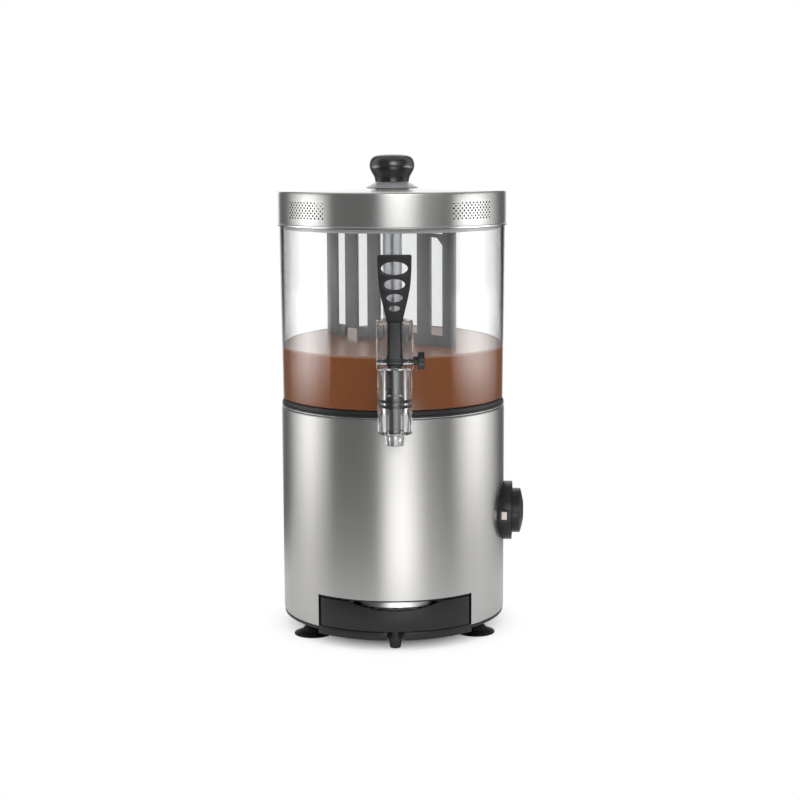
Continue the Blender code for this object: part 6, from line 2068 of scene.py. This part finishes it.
@dataclass(frozen=True)
class Lever:
    """The tap lever: an eye on the pin, a neck, a flared paddle with four oval holes, a nose."""

    pivot_y: float
    pivot_z: float
    eye_radius: float = 5.0 * MM
    eye_half_width: float = 6.4 * MM
    neck_half_width: float = 5.9 * MM
    neck_half_depth: float = 4.5 * MM
    neck_top: float = 32.7 * MM
    neck_rounding: float = 2.0 * MM
    arm: float = 9.0 * MM
    arm_half_width: float = 4.0 * MM
    arm_half_thickness: float = 1.5 * MM
    nose_radius: float = 2.5 * MM
    nose_half_width: float = 4.5 * MM
    thickness: float = 3.5 * MM
    rounding: float = 0.7 * MM
    length: float = 86.7 * MM
    start: float = 6.0 * MM
    flare_start: float = 32.0 * MM
    width: float = 28.0 * MM
    corner: float = 1.5 * MM
    edge_shares: tuple[tuple[float, float], ...] = (
        (0.0, 0.455),
        (0.117, 0.56),
        (0.223, 0.66),
        (0.327, 0.76),
        (0.433, 0.845),
        (0.537, 0.915),
        (0.643, 0.955),
        (0.748, 0.98),
        (0.874, 0.995),
    )
    holes: tuple[tuple[float, float, float], ...] = (
        (0.872, 0.779, 0.385),
        (0.721, 0.615, 0.311),
        (0.594, 0.463, 0.24),
        (0.495, 0.318, 0.165),
    )

    def outline(self) -> list[tuple[float, float]]:
        """Give the paddle's flared outline, across and up from the pivot."""
        tip, flare = self.width * HALF, self.length - self.flare_start
        flare_top = self.length - self.corner
        points = [Vector((tip * across, self.flare_start + flare * up)) for up, across in self.edge_shares]
        right = [(points[0].x, self.start)]
        for index in range(len(points) - 1):
            before, after = points[max(index - 1, 0)], points[min(index + 2, len(points) - 1)]
            for step in range(FILLET_STEPS):
                place = through(before, points[index], points[index + 1], after, step / FILLET_STEPS)
                right.append((place.x, place.y))
        right.append((points[-1].x, points[-1].y))
        for step in range(FILLET_STEPS * 2 + 1):
            angle = QUARTER_TURN * step / (FILLET_STEPS * 2)
            across = tip - self.corner + self.corner * math.cos(angle)
            right.append((across, flare_top + self.corner * math.sin(angle)))
        return right + [(-across, up) for across, up in reversed(right)]

    def paddle(self) -> bpy.types.Object:
        """Build the paddle with its holes and rounded edges."""
        outlines = [self.outline()]
        for height, width, depth in self.holes:
            across, up = width * self.width * HALF, depth * self.width * HALF
            angles = [FULL_TURN * step / SMALL_STEPS for step in range(SMALL_STEPS)]
            middle = height * self.length
            outlines.append([(across * math.cos(a), middle + up * math.sin(a)) for a in angles])
        upright = Matrix.Rotation(QUARTER_TURN, 4, "X")
        return plate("paddle", outlines, self.thickness, self.rounding, upright)

    def build(self) -> None:
        """Build the lever as one moulding, and dress it."""
        eye_half, neck = self.eye_half_width, self.neck_half_width
        lever = rod("perforated_lever", self.eye_radius, (-eye_half, 0.0, 0.0), (eye_half, 0.0, 0.0))
        depth = self.neck_half_depth
        shank = block("shank", (-neck, -depth, 0.0), (neck, depth, self.neck_top))
        eased(shank, self.neck_rounding, 4)
        thick, wide = self.arm_half_thickness, self.arm_half_width
        arm = block("arm", (-wide, 0.0, -thick), (wide, self.arm, thick))
        nose_half = self.nose_half_width
        nose = rod("nose", self.nose_radius, (-nose_half, self.arm, 0.0), (nose_half, self.arm, 0.0))
        hole = rod("hole", 2.8 * MM, (-OVERRUN, 0.0, 0.0), (OVERRUN, 0.0, 0.0))
        cut(joined(lever, joined(arm, nose), shank, self.paddle()), hole)
        eased(lever, 0.25 * MM, 2, math.radians(50.0))
        lever.data.transform(Matrix.Translation((0.0, self.pivot_y, self.pivot_z)))
        placed(lever, Finish.BLACK_ABS.material(), "tap_lever", "black_plastic", "tap_lever")


@dataclass(frozen=True)
class Agitator:
    """The flat grey agitator with its bars and hub, moulded in one piece."""

    rounding: float = 0.6 * MM

    def build(self) -> None:
        """Round the moulding's edges and dress it."""
        moulding = refined("agitator", "moulded_agitator", self.rounding, 3)
        placed(moulding, Finish.GREY_POLYPROPYLENE.material(), "agitator", "grey_plastic", "agitator")


@dataclass(frozen=True)
class HeatControl:
    """The heat knob in its dished bezel, with the pilot lamp in the bezel's side."""

    height: float = 91.5 * MM
    bearing: float = -6.5
    knob_radius: float = 20.0 * MM
    knob_base: float = 104.5 * MM
    knob_side: float = 114.9 * MM
    knob_dome: float = 2.8 * MM
    knob_bore: float = 3.4 * MM
    knob_bore_depth: float = 4.0 * MM
    dome_side_share: float = 0.72
    dome_rise_share: float = 0.52
    dome_top_share: float = 0.38
    knob_roundings: tuple[float, ...] = (0.0, 0.5, 1.5, 6.0, 6.0, 0.0, 0.0, 0.0)

    def outward(self) -> Matrix:
        """Give the transform from the control's own axes, whose Z points out of the base."""
        turn = Matrix.Rotation(math.radians(self.bearing), 4, "Z")
        return Matrix.Translation((0.0, 0.0, self.height)) @ turn @ Axis.RIGHT.turn()

    def knob(self) -> bpy.types.Object:
        """Build the knob with its domed end and rounded edges.

        Returns:
            The knob.
        """
        radius = self.knob_radius
        bore, floor = self.knob_bore, self.knob_base + self.knob_bore_depth
        crown = self.knob_side + self.knob_dome
        points = [
            (bore, self.knob_base),
            (radius, self.knob_base),
            (radius, self.knob_side),
            (radius * self.dome_side_share, self.knob_side + self.knob_dome * self.dome_rise_share),
            (radius * self.dome_top_share, crown),
            (0.0, crown),
            (0.0, floor),
            (bore, floor),
        ]
        return turned("heat_knob", rounded(points, self.knob_roundings), ROUND_STEPS, turn=self.outward())

    def build(self) -> None:
        """Build and dress the heat control."""
        black = Finish.BLACK_ABS.material()
        placed(self.knob(), black, "heat_knob", "black_plastic", "thermostat_knob")
        placed(refined("knob_bezel", "dished_bezel", WIDE_EDGE), black, "base", "black_plastic", "knob_bezel")
        lens = refined("pilot_lamp", "pilot_lens", 0.35 * MM, 3)
        placed(lens, Finish.LAMP_LENS.material(), "base", "amber_lens", "pilot_lamp")


@dataclass(frozen=True)
class DripDrawer:
    """The pull-out drip drawer with its finger scoop, grid and peg, in its black channel."""

    peg_y: float = -90.0 * MM
    peg_radius: float = 6.0 * MM
    peg_tip_radius: float = 4.7 * MM
    peg_shoulder: float = 3.9 * MM
    peg_ring: float = 5.0 * MM
    peg_ring_step: float = 0.5 * MM
    peg_waist: float = 5.6 * MM
    peg_waist_step: float = 0.6 * MM
    peg_stud: float = 2.0 * MM
    peg_roundings: tuple[float, ...] = (0.0, 1.0, 0.6, 0.4, 0.5, 0.0, 0.3, 0.0)
    lip_foot: float = 86.4 * MM
    lip_head: float = 84.8 * MM
    lip_sheet: float = 0.7 * MM
    lip_bottom: float = 22.1 * MM
    lip_top: float = 28.9 * MM
    lip_turn: float = 28.5

    def peg(self) -> bpy.types.Object:
        """Build the ribbed rubber peg under the drawer's front.

        Returns:
            The peg.
        """
        low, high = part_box("tray_peg")
        points = [
            (0.0, low.z),
            (self.peg_tip_radius, low.z),
            (self.peg_tip_radius + self.peg_ring_step, low.z + self.peg_ring),
            (self.peg_radius - self.peg_waist_step, low.z + self.peg_waist),
            (self.peg_radius, self.peg_shoulder),
            (self.peg_stud, self.peg_shoulder),
            (self.peg_stud, high.z),
            (0.0, high.z),
        ]
        corners = rounded(points, self.peg_roundings)
        return turned("rubber_peg", corners, SMALL_STEPS, Vector((0.0, self.peg_y, 0.0)))

    def lip(self) -> bpy.types.Object:
        """Build the leaning steel lip that keeps drips behind the finger scoop.

        Returns:
            The lip.
        """
        sheet = self.lip_sheet
        corners = (
            (self.lip_foot, self.lip_bottom),
            (self.lip_head, self.lip_top),
            (self.lip_head - sheet, self.lip_top),
            (self.lip_foot - sheet, self.lip_bottom),
        )
        shape = bmesh.new()
        rows = []
        for step in range(SMALL_STEPS + 1):
            angle = math.radians(self.lip_turn) * (2.0 * step / SMALL_STEPS - 1.0)
            rows.append(
                [shape.verts.new((radius * math.sin(angle), -radius * math.cos(angle), z)) for radius, z in corners]
            )
        for before, after in zip(rows, rows[1:]):
            for index in range(len(corners)):
                there = (index + 1) % len(corners)
                shape.faces.new((before[index], before[there], after[there], after[index]))
        shape.faces.new(rows[0])
        shape.faces.new(rows[-1])
        bmesh.ops.recalc_face_normals(shape, faces=shape.faces)
        return from_bmesh("splash_lip", shape)

    def build(self) -> None:
        """Build and dress the drawer and its channel."""
        black = Finish.BLACK_ABS.material()
        drawer = refined("tray_drawer", "scooped_drawer", 0.5 * MM, 3)
        placed(drawer, black, "drip_drawer", "black_plastic", "tray_drawer")
        placed(
            refined("tray_channel", "drawer_channel", 0.35 * MM),
            black,
            "base",
            "black_plastic",
            "tray_channel",
        )
        grid = refined("tray_grid", "slotted_grid", 0.25 * MM)
        placed(grid, Finish.BRUSHED_STEEL.material(), "drip_drawer", "brushed_steel", "tray_grid")
        placed(self.lip(), Finish.LID_STEEL.material(), "drip_drawer", "brushed_steel")
        placed(self.peg(), Finish.BLACK_RUBBER.material(), "drip_drawer", "black_rubber", "tray_peg")


NODE_FINISHES: dict[Finish, tuple[str, ...]] = {
    Finish.BRUSHED_STEEL: ("body_shell", "tray_grid"),
    Finish.DRAWN_STEEL: ("water_bath", "lid_ledge"),
    Finish.LID_STEEL: ("lid_shell",),
    Finish.BLACK_ABS: (
        "bottom_pan",
        "tray_channel",
        "tray_drawer",
        "knob_bezel",
        "thermostat_knob",
        "tap_lever",
        "tap_plunger",
        "tap_pin",
        "cable_gland",
        "gland_nut",
        "gearbox",
    ),
    Finish.BLACK_PHENOLIC: ("lid_knob",),
    Finish.BLACK_RUBBER: (
        "foot_1", "foot_2", "foot_3", "foot_4", "seat_ring", "tray_peg", "shaft_seal", "tap_seal"
    ),
    Finish.GREY_POLYPROPYLENE: ("agitator",),
    Finish.PALE_GREY_ABS: ("lid_collar",),
    Finish.MILKY_SILICONE: ("lid_gasket", "tap_gasket", "spindle_bush"),
    Finish.CERAMIC: ("terminal_block", "thermostat_body"),
    Finish.BRASS: ("overheat_cutout",),
    Finish.BOWL_POLYCARBONATE: ("bowl",),
    Finish.TUBE_POLYCARBONATE: ("bowl_standpipe",),
    Finish.TAP_POLYCARBONATE: ("tap_body",),
    Finish.LAMP_LENS: ("pilot_lamp",),
}


def dress_nodes(nodes: dict[str, bpy.types.Object]) -> None:
    """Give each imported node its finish, zinc plate where nothing else is named.

    Args:
        nodes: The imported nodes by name.
    """
    finish_of = {node: finish for finish, names in NODE_FINISHES.items() for node in names}
    for name, node in nodes.items():
        finish = finish_of.get(name, Finish.ZINC_PLATE)
        node.data.materials.clear()
        node.data.materials.append(finish.material())
        LOG.info("node %s has the finish %s", name, finish.name)


def main() -> None:
    """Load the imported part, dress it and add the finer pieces."""
    logging.basicConfig(level=logging.INFO, format="%(name)s: %(message)s")
    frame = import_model()
    packed_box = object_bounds()
    dress_nodes(frame["nodes"])
    Studio().build(packed_box[0][2])
    for assembly in (Base(), HeatControl(), DripDrawer(), Bowl(), Agitator(), Tap(), Lid()):
        assembly.build()


if __name__ == "__main__":
    main()
